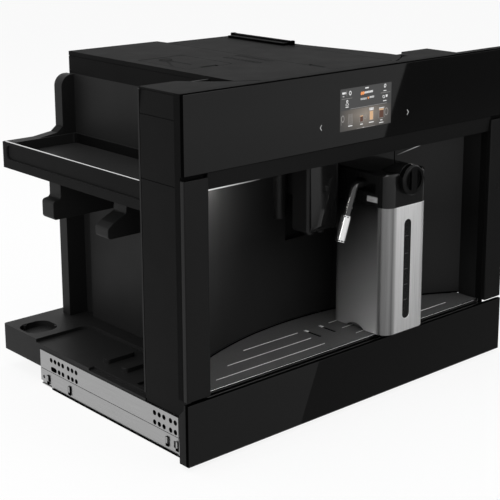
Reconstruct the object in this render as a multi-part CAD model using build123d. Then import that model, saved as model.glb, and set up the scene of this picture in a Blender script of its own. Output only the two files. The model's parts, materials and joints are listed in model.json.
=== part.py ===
from build123d import *
import math
import os

# Built-in bean-to-cup coffee machine for a 450 mm high, 560 mm wide cabinet niche.
# It stands on two telescopic rails and pulls out of the cabinet to the front.
#
# While it is modelled, X runs to the right from the middle of the front, Y runs back from
# the face of the glass and Z runs up from the lower edge of the front. write_part() moves
# every piece to the part's own frame, whose origin is the middle of its footprint.

# ---------------------------------------------------------------- driving dimensions, mm
# front
FRONT_WIDTH = 595.0
FRONT_HEIGHT = 455.0
CONTROL_HEIGHT = 95.5
LOWER_HEIGHT = 80.0
LOWER_GAP = 3.5
CONTROL_GAP = 5.5
PANE = 5.0
FRONT_DEPTH = 18.5
SEAT_STEP = 0.5
TRIM_WIDTH = 36.5
FASCIA_HEIGHT = 22.0
FASCIA_FRONT = 2.5
FASCIA_LEAN = 3.0
FASCIA_DEPTH = 12.0
SCREEN_WIDTH = 104.0
SCREEN_HEIGHT = 62.0
SCREEN_DEPTH = 8.0
SCREEN_RISE = 46.0

# body
SIDE_STEP = 19.5
TOP_STEP = 6.0
BODY_REAR = 454.0
SKIN = 3.0
PILLAR_DEPTH = 110.0
RIGHT_PILLAR_DEPTH = 33.0
PILLAR_BOTTOM = 47.5
GROOVE = 1.0
BAY_WIDTH = 111.0
TANK_BAY_WIDTH = 168.0
CORE_REAR = 428.0
COVER_SKIRT = 31.0
COVER_ARC_RADIUS = 258.0
COVER_ARC_X = -16.0
COVER_ARC_Y = 274.0
COVER_GAP = 1.5
COVER_OVERHANG = 42.0

# cavity
CAVITY_X = -8.0
CAVITY_DEPTH = 129.0
CAVITY_SIDE_DEPTH = 50.1
WALL_BOTTOM = 86.0
DOOR_INSET_LEFT = 18.0
DOOR_INSET_RIGHT = 97.0
SEAM = 1.5
CORNER_RADIUS = 10.0
HINGE_INSET = 9.5
HINGE_Y = 66.0
HINGE_RADIUS = 4.5
PIN_RADIUS = 2.5
RUN = 0.05
CLEAR = 0.5

# base and runners
BASE_TOP = 58.0
BASE_BOTTOM = 20.0
BED_TOP = 50.0
BED_REAR = 150.0
FLOOR_SINK = 4.6
HAND_SINK = 8.5
RAIL_OUTSTAND = 2.0
RAIL_WIDTH = 18.0
RAIL_TOP = 46.2
RAIL_BOTTOM = -5.0
RAIL_FRONT = 42.0
RAIL_REAR = 355.0
RAIL_SHEET = 1.4
RAIL_HOLE_RADIUS = 3.5
RAIL_HOLE_PITCH = 9.6
RAIL_ROW_PITCH = 12.7
RAIL_ROW_DROP = 8.5
RUNNER_SCREW_RADIUS = 2.2
RUNNER_SCREW_SPAN = 240.0

# drip tray and cup grid
GRID_TOP = 84.0
GRID_SHEET = 2.5
TRAY_FRONT = 12.0
TRAY_SIDE_GAP = 2.5
TRAY_BOTTOM = 53.0
TRAY_WALL = 2.5
TRAY_TUCK = 4.0
SLOT_WIDTH = 2.4
SLOT_PITCH = 26.6
SLOT_FIRST_Y = 32.2
SLOT_INSETS = (41.0, 82.0, 132.0)

# coffee spout
SPOUT_X = -15.0
SPOUT_WIDTH = 58.0
SPOUT_FRONT = 59.0
SPOUT_DEPTH = 31.0
SPOUT_HEIGHT = 105.0
NOZZLE_SPREAD = 20.0
TRACK_WIDTH = 37.0
TRACK_X = -2.5
TRACK_HEIGHT = 134.0

# milk jug
JUG_LEFT = 36.0
JUG_WIDTH = 83.0
JUG_FRONT = -8.0
JUG_DEPTH = 103.0
JUG_CORNER = 16.0
JUG_GAP = 0.4
JUG_HEADROOM = 28.0
LID_HEIGHT = 46.0
SLEEVE_SHEET = 1.2
VESSEL_WALL = 2.5
WINDOW_WIDTH = 14.0
WINDOW_RISE = 18.6
WINDOW_DROP = 19.5
KNOB_RADIUS = 21.0
KNOB_DEPTH = 10.0
SPOUT_TUBE_RADIUS = 5.5
MILK_SPOUT_Y = 40.0
MILK_TIP_RADIUS = 7.6
MILK_LEAN = 20.0
MILK_BEND = 10.0

# left bay
SHELF_DROP = 117.0
SHELF_HEIGHT = 37.0
SHELF_REAR = 433.0
SHELF_WELL = 14.0
ROD_RADIUS = 1.6
HOOK_WIDTH = 28.0
HOOK_CENTRES = (208.5, 335.5)
HOOK_HEIGHT = 57.0
FLANGE_WIDTH = 22.0
FLANGE_FRONT = 416.0
FLANGE_REAR = 435.0

# right bay
TANK_WALL_FRONT = 120.0
TANK_FRONT = 125.0
TANK_REAR = 425.0
TANK_DROP = 83.0
TANK_WALL = 2.6
TANK_LID = 2.6
TANK_BARREL = (150.0, 400.0)

# lids on the top cover
BEAN_LID_WIDTH = 114.0
BEAN_LID_FRONT = 52.0
BEAN_LID_REAR = 396.0
FLAP_WIDTH = 76.0
FLAP_FRONT = 176.0
FLAP_REAR = 284.0
LID_SHEET = 3.0
LID_GAP = 0.7
FLAP_PIN = 0.8
BEAN_HINGE_RADIUS = 3.0
BEAN_BARREL = (262.0, 388.0)

# works inside the core
PLATE_INSET_LEFT = 41.0
PLATE_INSET_RIGHT = 14.0
WORKS_FRONT = 150.0
WORKS_REAR = 372.0
BREW_BOTTOM = 176.0
BREW_Y = 215.0
SWITCH_Z = 96.0
SWITCH_Y = 424.0

# ---------------------------------------------------------------- worked out from them
HALF_FRONT = FRONT_WIDTH / 2
HALF_BODY = HALF_FRONT - SIDE_STEP
BODY_TOP = FRONT_HEIGHT - TOP_STEP
OPENING = HALF_FRONT - TRIM_WIDTH
CONTROL_BOTTOM = FRONT_HEIGHT - CONTROL_HEIGHT
CEILING = CONTROL_BOTTOM - CLEAR - FASCIA_HEIGHT
TRIM_BOTTOM = LOWER_HEIGHT + LOWER_GAP
TRIM_TOP = CONTROL_BOTTOM - CONTROL_GAP
BAND_BOTTOM = CEILING + FASCIA_HEIGHT - 1.0
SCREEN_Z = CONTROL_BOTTOM + SCREEN_RISE - SCREEN_HEIGHT / 2
SKIRT_BOTTOM = BODY_TOP - COVER_SKIRT
CORE_LEFT = BAY_WIDTH - HALF_BODY
CORE_RIGHT = HALF_BODY - TANK_BAY_WIDTH
HALF_CHORD = OPENING - CAVITY_X
SAGITTA = CAVITY_DEPTH - CAVITY_SIDE_DEPTH
CAVITY_RADIUS = (HALF_CHORD ** 2 + SAGITTA ** 2) / (2 * SAGITTA)
ARC_Y = CAVITY_DEPTH - CAVITY_RADIUS
DOOR_LEFT = DOOR_INSET_LEFT - OPENING
DOOR_RIGHT = OPENING - DOOR_INSET_RIGHT
WALL_TOP = CEILING - 0.8
BARREL_TOP = CEILING - 8.5
HINGE_X = HINGE_INSET - OPENING
RAIL_FACE = HALF_BODY + RAIL_OUTSTAND
RAIL_INSIDE = RAIL_FACE - RAIL_WIDTH
RUNNER_TOP = BASE_BOTTOM - 0.8
TRAY_HALF_WIDTH = OPENING - TRAY_SIDE_GAP
SPOUT_LEFT = SPOUT_X - SPOUT_WIDTH / 2
SPOUT_RIGHT = SPOUT_X + SPOUT_WIDTH / 2
SPOUT_TOP = CEILING - 2.0
SPOUT_BOTTOM = SPOUT_TOP - SPOUT_HEIGHT
TRACK_BOTTOM = CEILING - TRACK_HEIGHT
JUG_RIGHT = JUG_LEFT + JUG_WIDTH
JUG_REAR = JUG_FRONT + JUG_DEPTH
JUG_X = (JUG_LEFT + JUG_RIGHT) / 2
JUG_BOTTOM = GRID_TOP + JUG_GAP
JUG_LID_TOP = CEILING - JUG_HEADROOM
JUG_SLEEVE_TOP = JUG_LID_TOP - LID_HEIGHT
WINDOW_BOTTOM = JUG_BOTTOM + WINDOW_RISE
WINDOW_TOP = JUG_SLEEVE_TOP - WINDOW_DROP
KNOB_Z = JUG_LID_TOP - 10.0
KNOB_FRONT = JUG_FRONT - KNOB_DEPTH
MILK_SPOUT_Z = JUG_LID_TOP - 18.5
MILK_ELBOW_X = JUG_LEFT - 13.0
BUTTON_Y = MILK_SPOUT_Y - 20.2
BUTTON_Z = JUG_SLEEVE_TOP + 9.7
SHELF_TOP = BODY_TOP - SHELF_DROP
SHELF_BOTTOM = SHELF_TOP - SHELF_HEIGHT
SHELF_FLOOR = SHELF_TOP - SHELF_WELL
HOOK_BOTTOM = SHELF_BOTTOM - HOOK_HEIGHT
FLANGE_LEFT = CORE_LEFT - FLANGE_WIDTH
FLANGE_TOP = BODY_TOP - 32.0
GROOVE_HEIGHTS = (CEILING, FLANGE_TOP)
BULKHEAD_FRONT = PILLAR_DEPTH
STEP_X = HALF_BODY - 45.0
STEP_Y = PILLAR_DEPTH - 11.0
TANK_LEFT = CORE_RIGHT + 8.0
TANK_RIGHT = HALF_BODY - 1.5
TANK_DECK_RIGHT = CORE_RIGHT + COVER_OVERHANG + 4.0
TANK_TOP = BODY_TOP - TANK_DROP
TANK_HINGE_Z = TANK_TOP + 3.2
BEAN_LID_RIGHT = CORE_RIGHT - 4.0
BEAN_LID = (BEAN_LID_RIGHT - BEAN_LID_WIDTH, BEAN_LID_RIGHT, BEAN_LID_FRONT, BEAN_LID_REAR)
BEAN_HINGE_X = CORE_RIGHT + 2.0
BEAN_HINGE_Z = BODY_TOP + BEAN_HINGE_RADIUS + CLEAR
BEAN_X = BEAN_LID_RIGHT - BEAN_LID_WIDTH / 2
THROAT_Y = BEAN_LID_FRONT + 238.0
FLAP_LEFT = CORE_LEFT + 17.0
FLAP = (FLAP_LEFT, FLAP_LEFT + FLAP_WIDTH, FLAP_FRONT, FLAP_REAR)
CHUTE_X = FLAP_LEFT + FLAP_WIDTH / 2
CHUTE_Y = FLAP_FRONT + 40.0
PLATE_LEFT = CORE_LEFT + PLATE_INSET_LEFT
PLATE_RIGHT = CORE_RIGHT - PLATE_INSET_RIGHT
BREW_X = (PLATE_LEFT + PLATE_RIGHT) / 2 - 9.0
BRIDGE_Z = BODY_TOP - 97.0
BREW_TOP = BRIDGE_Z - 44.0


# ---------------------------------------------------------------- helpers
def block(x0, x1, y0, y1, z0, z1):
    """A box between two corners."""
    return Pos(x0, y0, z0) * Box(x1 - x0, y1 - y0, z1 - z0, align=(Align.MIN,) * 3)


def upright(sketch, z0, z1):
    """A plan outline raised from z0 to z1."""
    return Pos(0, 0, z0) * extrude(sketch, amount=z1 - z0)


def across(points, x0, x1, radius=0.0):
    """A side profile of (y, z) points run along X."""
    outline = make_face(Polyline(*points, close=True))
    if radius:
        outline = fillet(outline.vertices(), radius)
    return extrude(Plane.YZ.offset(x0) * outline, amount=x1 - x0)


def along(sketch, y0, y1):
    """A front profile, drawn in x and z, run back from y0 to y1."""
    return extrude(Plane.XZ.offset(-y0) * sketch, amount=y0 - y1)


def plan_box(x0, x1, y0, y1, radius=0.0):
    """A plan rectangle, with rounded corners where a radius is given."""
    if radius:
        shape = RectangleRounded(x1 - x0, y1 - y0, radius)
    else:
        shape = Rectangle(x1 - x0, y1 - y0)
    return Pos((x0 + x1) / 2, (y0 + y1) / 2) * shape


def post(x, y, z0, z1, radius):
    """An upright cylinder."""
    return Pos(x, y, z0) * Cylinder(radius, z1 - z0, align=(Align.CENTER, Align.CENTER, Align.MIN))


def drum(x, y, z0, z1, radius):
    """A twenty-four-sided upright drum."""
    outline = Pos(x, y) * RegularPolygon(radius, 24)
    return upright(outline, z0, z1)


def bar_x(x0, x1, y, z, radius):
    """A cylinder along X."""
    return Pos(x0, y, z) * Rot(0, 90, 0) * Cylinder(
        radius, x1 - x0, align=(Align.CENTER, Align.CENTER, Align.MIN))


def bar_y(x, y0, y1, z, radius):
    """A cylinder along Y."""
    return Pos(x, y0, z) * Rot(-90, 0, 0) * Cylinder(
        radius, y1 - y0, align=(Align.CENTER, Align.CENTER, Align.MIN))


def arc_y(x, extra=0.0):
    """How far back the cavity's curved wall is at x, with extra added to its radius."""
    return ARC_Y + math.sqrt((CAVITY_RADIUS + extra) ** 2 - (x - CAVITY_X) ** 2)


def arc_sector(x0, x1, outer, inner):
    """Plan of the ring between two offsets from the cavity's curved wall, from x0 to x1."""
    big = Pos(CAVITY_X, ARC_Y) * Circle(CAVITY_RADIUS + outer)
    small = Pos(CAVITY_X, ARC_Y) * Circle(CAVITY_RADIUS + inner)
    window = plan_box(x0, x1, 0, CAVITY_DEPTH + outer + 1)
    return (big - small) & window


def mirrored(shape):
    """The same piece for the right side."""
    return mirror(shape, about=Plane.YZ)


# ---------------------------------------------------------------- telescopic runners
def rail_hole(y, row):
    """A twelve-sided hole through the left rail, in the upper (0) or lower (1) row."""
    z = RAIL_TOP - RAIL_ROW_DROP - row * RAIL_ROW_PITCH
    outline = Pos(y, z) * RegularPolygon(RAIL_HOLE_RADIUS, 12)
    return extrude(Plane.YZ.offset(-RAIL_FACE - 1) * outline, amount=RAIL_SHEET + 2)


def rail_slot(y0, y1, row):
    """A slotted hole through the left rail."""
    z = RAIL_TOP - RAIL_ROW_DROP - row * RAIL_ROW_PITCH
    web = block(-RAIL_FACE - 1, -RAIL_FACE + RAIL_SHEET + 1, y0, y1,
                z - RAIL_HOLE_RADIUS, z + RAIL_HOLE_RADIUS)
    return rail_hole(y0, row) + web + rail_hole(y1, row)


def rail_left():
    """The perforated member, screwed to the machine's side, with its tongue in the runner."""
    outer, inner = -RAIL_FACE, -RAIL_INSIDE
    z0 = BASE_BOTTOM
    rail = block(outer, outer + RAIL_SHEET, RAIL_FRONT, RAIL_REAR, z0, RAIL_TOP)
    rail += block(outer, inner, RAIL_FRONT, RAIL_REAR, RAIL_TOP - RAIL_SHEET, RAIL_TOP)
    rail += block(outer, inner, RAIL_FRONT, RAIL_REAR, z0, z0 + RAIL_SHEET)
    middle = (outer + inner) / 2
    rail += block(middle - 2, middle + 2, RAIL_FRONT + 2, RAIL_REAR - 2, RAIL_BOTTOM + 5, z0 + 1)
    last = RAIL_REAR - 28.0
    for n in range(4):
        rail -= rail_hole(last - n * RAIL_HOLE_PITCH, 0)
    rail -= rail_slot(last - RAIL_HOLE_PITCH, last - 2, 1)
    for n in (2, 3):
        rail -= rail_hole(last - n * RAIL_HOLE_PITCH, 1)
    for row in (0, 1):
        for n in range(3):
            rail -= rail_hole(last - 4.4 * RAIL_HOLE_PITCH - n * RAIL_HOLE_PITCH, row)
            rail -= rail_hole(RAIL_FRONT + 48 - n * RAIL_HOLE_PITCH, row)
        for n in range(2):
            rail -= rail_hole(RAIL_FRONT + 15.4 - n * RAIL_HOLE_PITCH, row)
    return rail


def runner_left():
    """The member on the niche's floor: a channel open at the top, screwed down through its floor."""
    outer, inner = -RAIL_FACE, -RAIL_INSIDE
    runner = block(outer, outer + RAIL_SHEET, RAIL_FRONT, RAIL_REAR, RAIL_BOTTOM, RUNNER_TOP)
    runner += block(outer, inner, RAIL_FRONT, RAIL_REAR, RAIL_BOTTOM, RAIL_BOTTOM + RAIL_SHEET)
    runner += block(inner - RAIL_SHEET, inner, RAIL_FRONT, RAIL_REAR, RAIL_BOTTOM, RUNNER_TOP)
    # the rear corner is notched above the floor
    runner -= block(outer - 1, outer + RAIL_SHEET + 0.1, RAIL_REAR - 27, RAIL_REAR + 1,
                    RAIL_BOTTOM - 1, RAIL_BOTTOM + 6)
    # latch slots and the round hole of the rear stop
    for y, z, height in ((RAIL_REAR - 25, 7, 8), (RAIL_REAR - 74, 5.5, 9.5),
                         (RAIL_FRONT + 19, 7.5, 11), (RAIL_FRONT + 3, 9, 9)):
        runner -= block(outer - 1, outer + RAIL_SHEET + 1, y, y + 6.5, RAIL_BOTTOM + z,
                        RAIL_BOTTOM + z + height)
    runner -= bar_x(outer - 1, outer + RAIL_SHEET + 1, RAIL_REAR - 8, RAIL_BOTTOM + 12.5, 2.6)
    middle = (outer + inner) / 2
    centre = (RAIL_FRONT + RAIL_REAR) / 2
    for y in (centre - RUNNER_SCREW_SPAN / 2, centre + RUNNER_SCREW_SPAN / 2):
        runner -= post(middle, y, RAIL_BOTTOM - 1, RAIL_BOTTOM + 2, RUNNER_SCREW_RADIUS)
    return runner


def slider_left():
    """The middle member, a channel that runs between the runner and the rail's tongue."""
    gap = 1.0
    sheet = 1.6
    x0, x1 = -RAIL_FACE + RAIL_SHEET + gap, -RAIL_INSIDE - RAIL_SHEET - gap
    z0, z1 = RAIL_BOTTOM + RAIL_SHEET + gap, RUNNER_TOP - 0.6
    y0, y1 = RAIL_FRONT + 1, RAIL_REAR - 1
    slider = block(x0, x1, y0, y1, z0, z0 + sheet)
    slider += block(x0, x0 + sheet, y0, y1, z0, z1)
    return slider + block(x1 - sheet, x1, y0, y1, z0, z1)


# ---------------------------------------------------------------- base
def base_plate():
    """Moulded base: the bay floors, the bed of the drip tray and the skirt between the rails."""
    front = FRONT_DEPTH + CLEAR
    left, right = -HALF_BODY - 1, HALF_BODY + 1
    outline = plan_box(left, right, front, BODY_REAR)
    outline = fillet(outline.vertices().sort_by(Axis.Y)[-2:], 4)
    base = upright(outline, BASE_BOTTOM, BASE_TOP)
    # hollow underside
    inner = RAIL_INSIDE - 3
    hollow = plan_box(-inner, inner, front + 4, BODY_REAR - 4, 8)
    base -= upright(hollow, BASE_BOTTOM - 1, BED_TOP - 5)
    # the sides stand in from the rails
    side = block(left - 1, -RAIL_INSIDE, front - 1, RAIL_REAR + 2, BASE_BOTTOM - 1, RAIL_TOP)
    base -= side
    base -= mirrored(side)
    # room for the pillars, and for the bed under the drip tray
    pillar_room = block(left - 1, -OPENING - 2, front - 1, PILLAR_DEPTH, RAIL_TOP - 1, BASE_TOP + 1)
    base -= pillar_room
    base -= mirrored(pillar_room)
    base -= block(-OPENING - 2, OPENING + 2, front - 1, BED_REAR, BED_TOP, BASE_TOP + 1)
    # sunk floor of the left bay, open to the side
    sunk = plan_box(left - 4, FLANGE_LEFT - 1, PILLAR_DEPTH + 8, BODY_REAR - 88)
    sunk = fillet(sunk.vertices().sort_by(Axis.X)[-2:], 18)
    base -= upright(sunk, BASE_TOP - FLOOR_SINK, BASE_TOP + 1)
    base -= block(left - 1, left + 9, PILLAR_DEPTH, 236, BASE_TOP - 8, BASE_TOP + 1)
    for y in (194, 236):
        rib = plan_box(left + 26, left + 72, y - 7, y + 7, 5)
        base += upright(rib, BASE_TOP - FLOOR_SINK, BASE_TOP + 1.2)
    # hand recess with two rounded lugs in its far walls
    hand = upright(plan_box(left + 4.5, left + 53.5, BODY_REAR - 71, BODY_REAR - 25, 17),
                   BASE_TOP - HAND_SINK, BASE_TOP + 1)
    hand -= post(left + 20, BODY_REAR - 24, BASE_TOP - HAND_SINK - 1, BASE_TOP - 1, 4)
    hand -= post(left + 54.5, BODY_REAR - 57, BASE_TOP - HAND_SINK - 1, BASE_TOP - 1, 4)
    return base - hand


# ---------------------------------------------------------------- front
def front_frame():
    """Pressed frame behind the glass, open at the bottom for the tray drawer."""
    top = block(-HALF_FRONT, HALF_FRONT, PANE + 1, FRONT_DEPTH, BAND_BOTTOM, FRONT_HEIGHT)
    leg = block(-HALF_FRONT, -OPENING, PANE + 3, FRONT_DEPTH, TRIM_BOTTOM, BAND_BOTTOM)
    frame = top + leg + mirrored(leg)
    pocket = block(-SCREEN_WIDTH / 2, SCREEN_WIDTH / 2, PANE, FRONT_DEPTH + 1, SCREEN_Z,
                   SCREEN_Z + SCREEN_HEIGHT)
    # the overhanging edges that cover the niche's sides
    seat = block(-HALF_FRONT - 1, -RAIL_FACE - CLEAR, FRONT_DEPTH - SEAT_STEP, FRONT_DEPTH + 1,
                 TRIM_BOTTOM - 1, FRONT_HEIGHT + 1)
    return frame - pocket - seat - mirrored(seat)


def control_glass():
    """The tinted pane with the display and touch keys behind it."""
    pane = block(-HALF_FRONT, HALF_FRONT, 0, PANE + 1, CONTROL_BOTTOM, FRONT_HEIGHT)
    edges = pane.edges().filter_by(Axis.X).group_by(Axis.Y)[0]
    return chamfer(edges, 0.6)


def display_module():
    """Colour display, set in the frame's pocket against the glass."""
    slack = 2.0
    return block(-SCREEN_WIDTH / 2 + slack, SCREEN_WIDTH / 2 - slack, PANE + 1,
                 PANE + 1 + SCREEN_DEPTH, SCREEN_Z + slack, SCREEN_Z + SCREEN_HEIGHT - slack)


def control_board():
    """Circuit board behind the display, spanning the pocket on the frame's rear face."""
    board = block(-110, 110, FRONT_DEPTH, FRONT_DEPTH + 1.6, SCREEN_Z - 16, SKIRT_BOTTOM - 2)
    stand_off = block(-8, 8, PANE + 1 + SCREEN_DEPTH, FRONT_DEPTH, SCREEN_Z + 20, SCREEN_Z + 36)
    chips = block(-92, -70, FRONT_DEPTH + 1.6, FRONT_DEPTH + 4, SCREEN_Z + 4, SCREEN_Z + 26)
    chips += block(40, 64, FRONT_DEPTH + 1.6, FRONT_DEPTH + 5, SCREEN_Z + 10, SCREEN_Z + 24)
    return board + stand_off + chips


def trim_left():
    """Matte side trim beside the cavity."""
    outline = plan_box(-HALF_FRONT, -OPENING, 0.6, PANE + 3)
    front = outline.vertices().sort_by(Axis.Y)[:2]
    outline = chamfer(front, 1.0)
    return upright(outline, TRIM_BOTTOM, TRIM_TOP)


def hood_fascia():
    """Leaning strip under the control glass, between the trims."""
    top = CEILING + FASCIA_HEIGHT
    profile = [(FASCIA_FRONT, top), (FASCIA_FRONT + FASCIA_LEAN, CEILING), (FASCIA_DEPTH, CEILING),
               (FASCIA_DEPTH, BAND_BOTTOM), (PANE + 1, BAND_BOTTOM), (PANE + 1, top)]
    return across(profile, -OPENING, OPENING)


# ---------------------------------------------------------------- pillars and cavity
def pillar(depth):
    """Left pillar: a channel section, open towards the cavity, grooved outside."""
    outline = plan_box(-HALF_BODY, -OPENING - 2, FRONT_DEPTH, depth)
    rear = outline.vertices().group_by(Axis.X)[0].sort_by(Axis.Y)[-1:]
    outline = fillet(rear, 2)
    body = upright(outline, PILLAR_BOTTOM, BODY_TOP - SKIN)
    body -= block(-HALF_BODY + SKIN, -OPENING, FRONT_DEPTH + SKIN, depth - SKIN,
                  PILLAR_BOTTOM + SKIN, BODY_TOP - 2 * SKIN)
    for z in GROOVE_HEIGHTS:
        body -= block(-HALF_BODY - 1, -HALF_BODY + GROOVE, FRONT_DEPTH, depth + 1,
                      z - GROOVE / 2, z + GROOVE / 2)
    # the part above the upper groove leans in a little
    z_lean = GROOVE_HEIGHTS[1]
    lean = make_face(Polyline((-HALF_BODY - 1, z_lean), (-HALF_BODY, z_lean),
                              (-HALF_BODY + 2, BODY_TOP), (-HALF_BODY - 1, BODY_TOP), close=True))
    return body - along(lean, FRONT_DEPTH - 1, depth + 1)


def cavity_liner():
    """Fixed walls of the cavity: two sides, the rounded right corner, ceiling and hinge lugs."""
    top = CEILING + SKIN
    left = block(-OPENING - 2, -OPENING, FRONT_DEPTH, HINGE_Y + 12, BED_TOP, top)
    right = plan_box(OPENING, OPENING + 2, FRONT_DEPTH, arc_y(OPENING) + 1)
    right += arc_sector(DOOR_RIGHT + SEAM, OPENING + 2, 3, 0)
    wall = upright(right, WALL_BOTTOM, top)
    wall += block(OPENING, OPENING + 2, FRONT_DEPTH, arc_y(OPENING), BED_TOP, WALL_BOTTOM)
    # rounded inner corner
    corner_y = arc_y(OPENING - CORNER_RADIUS)
    corner = plan_box(OPENING - CORNER_RADIUS, OPENING + 1, corner_y - CORNER_RADIUS, corner_y + 2)
    corner -= Pos(OPENING - CORNER_RADIUS, corner_y - CORNER_RADIUS - 1) * Circle(CORNER_RADIUS)
    corner -= Pos(CAVITY_X, ARC_Y) * Circle(CAVITY_RADIUS)
    wall += upright(corner, WALL_BOTTOM, top)
    ceiling = plan_box(-OPENING, OPENING, FASCIA_DEPTH, BODY_REAR)
    ceiling &= Pos(CAVITY_X, ARC_Y) * Circle(CAVITY_RADIUS + 3)
    ceiling = upright(ceiling, CEILING, top)
    shell = left + wall + ceiling
    lug_plan = plan_box(-OPENING - 1, HINGE_X + HINGE_RADIUS, HINGE_Y - 6, HINGE_Y + 6)
    for z0, z1 in ((BED_TOP + 30, WALL_BOTTOM - 0.6), (BARREL_TOP + 0.6, CEILING + 1)):
        shell += upright(lug_plan, z0, z1)
    shell += post(HINGE_X, HINGE_Y, WALL_BOTTOM - 1, WALL_BOTTOM + 9, PIN_RADIUS)
    shell += post(HINGE_X, HINGE_Y, BARREL_TOP - 9, BARREL_TOP + 1, PIN_RADIUS)
    return shell


def bulkhead():
    """Cross walls behind the pillars, tied by a beam over the cavity."""
    top = BODY_TOP - SKIN
    deck = CEILING + SKIN
    rear = BULKHEAD_FRONT + SKIN
    wall = block(-HALF_BODY, CORE_LEFT, BULKHEAD_FRONT, rear, BASE_TOP, top)
    wall += block(CORE_LEFT - 1, CORE_RIGHT + 2, BULKHEAD_FRONT, rear, deck, deck + 24)
    # wall in front of the water tank
    tank_wall = TANK_WALL_FRONT + SKIN
    wall += block(CORE_RIGHT, HALF_BODY, TANK_WALL_FRONT, tank_wall, BASE_TOP, deck)
    wall += block(CORE_RIGHT - 2, HALF_BODY, STEP_Y, tank_wall, deck, deck + SKIN)
    # stepped wall under the top plate
    wall += block(CORE_RIGHT, STEP_X, STEP_Y, STEP_Y + SKIN, deck, top)
    wall += block(STEP_X - SKIN, STEP_X, RIGHT_PILLAR_DEPTH, STEP_Y + SKIN, deck, top)
    wall += block(STEP_X, HALF_BODY, RIGHT_PILLAR_DEPTH, RIGHT_PILLAR_DEPTH + SKIN, deck, top)
    return wall - upright(cover_outline(-CLEAR), SKIRT_BOTTOM, BODY_TOP)


def top_plate():
    """Top skin over the front corners, cut round to clear the curved top cover."""
    side = HALF_BODY - 2
    rear = PILLAR_DEPTH + SKIN
    outline = plan_box(-side, side, FRONT_DEPTH, rear)
    outline -= plan_box(STEP_X, HALF_BODY, RIGHT_PILLAR_DEPTH + SKIN, rear + 1)
    outline -= plan_box(CORE_RIGHT, STEP_X + 1, STEP_Y + SKIN, rear + 1)
    outline -= Pos(COVER_ARC_X, COVER_ARC_Y) * Circle(COVER_ARC_RADIUS + COVER_GAP)
    outline -= plan_box(CORE_LEFT - COVER_GAP, CORE_RIGHT + COVER_OVERHANG + 3,
                        FRONT_DEPTH + 50, rear + 1)
    outline += plan_box(-side, side, FRONT_DEPTH, FRONT_DEPTH + 1.5)
    plate = upright(outline, BODY_TOP - SKIN, BODY_TOP)
    # flange screwed to the front frame
    return plate + block(-side + 14, side - 14, FRONT_DEPTH, FRONT_DEPTH + 1.5, SKIRT_BOTTOM,
                         BODY_TOP - 1)


# ---------------------------------------------------------------- core casing
def casing_left():
    """Left wall of the core, with the bay's rear flange and a cable recess in front of it."""
    wall = block(CORE_LEFT, CORE_LEFT + SKIN, BULKHEAD_FRONT + SKIN, CORE_REAR, BASE_TOP,
                 SKIRT_BOTTOM)
    recess = block(CORE_LEFT - 1, CORE_LEFT + 9, 389, FLANGE_FRONT, BASE_TOP, SHELF_BOTTOM)
    liner = block(CORE_LEFT, CORE_LEFT + 9 + SKIN, 386, FLANGE_FRONT + SKIN, BASE_TOP,
                  SHELF_BOTTOM + SKIN)
    outline = make_face(Polyline((FLANGE_LEFT, BASE_TOP), (CORE_LEFT, BASE_TOP),
                                 (CORE_LEFT, FLANGE_TOP), (FLANGE_LEFT, FLANGE_TOP), close=True))
    outer_top = outline.vertices().group_by(Axis.Y)[-1].sort_by(Axis.X)[:1]
    outline = fillet(outer_top, 17)
    flange = along(outline, FLANGE_FRONT, FLANGE_REAR)
    return wall + (liner - recess) - recess + flange


def casing_rear():
    """Rear wall of the core, with the warm-air vent slots."""
    wall = block(CORE_LEFT + SKIN, CORE_RIGHT, CORE_REAR - SKIN, CORE_REAR, BASE_TOP, SKIRT_BOTTOM)
    first = (CORE_LEFT + CORE_RIGHT) / 2 - 92
    slots = Part()
    for row in range(3):
        for n in range(8):
            x, z = first + n * 24, SKIRT_BOTTOM - 40 - row * 24
            slots += block(x, x + 16, CORE_REAR - SKIN - 1, CORE_REAR + 1, z, z + 5)
    x = inlet_x()
    inlet = block(x, x + 28, CORE_REAR - SKIN - 1, CORE_REAR + 1, SWITCH_Z - 12, SWITCH_Z + 12)
    switch = block(x + 46, x + 66, CORE_REAR - SKIN - 1, CORE_REAR + 1, SWITCH_Z - 14, SWITCH_Z + 14)
    return wall - slots - inlet - switch


def inlet_x():
    """Left edge of the mains inlet's cut-out."""
    return CORE_LEFT + 55


def casing_right():
    """Right wall of the core, beside the water tank, with the tank's valve socket."""
    deck = CEILING + SKIN
    x0, x1 = CORE_RIGHT - SKIN, CORE_RIGHT
    tank_wall = TANK_WALL_FRONT + SKIN
    wall = block(x0, x1, tank_wall, CORE_REAR - SKIN, BASE_TOP, SKIRT_BOTTOM)
    wall += block(x0, x1, STEP_Y + SKIN, tank_wall + 1, deck + SKIN, SKIRT_BOTTOM)
    wall -= block(x0 - 1, x1 + 1, BULKHEAD_FRONT - 1, BULKHEAD_FRONT + SKIN + 1, deck, deck + 25)
    return wall + bar_x(CORE_RIGHT - 1, CORE_RIGHT + 5, TANK_REAR - 35, BASE_TOP + 26, 11)


def cover_outline(inset=0.0):
    """Plan of the top cover: a round front, and a right side that leans in to the rear."""
    left, right = CORE_LEFT + inset, CORE_RIGHT + COVER_OVERHANG - inset
    rear, step = CORE_REAR - inset, CORE_REAR - 23 - inset
    sides = make_face(Polyline((left, 0), (right, 0), (right, STEP_Y + 5),
                               (CORE_RIGHT + 18 - inset, 250), (CORE_RIGHT + 7 - inset, step),
                               (-7 - inset, step), (-9 - inset, rear), (left, rear), close=True))
    disc = Pos(COVER_ARC_X, COVER_ARC_Y) * Circle(COVER_ARC_RADIUS - inset)
    round_front = disc & plan_box(left, right, 0, COVER_ARC_Y)
    behind = sides & plan_box(-HALF_FRONT, HALF_FRONT, COVER_ARC_Y - 1, CORE_REAR + 1)
    return behind + (round_front & sides)


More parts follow.
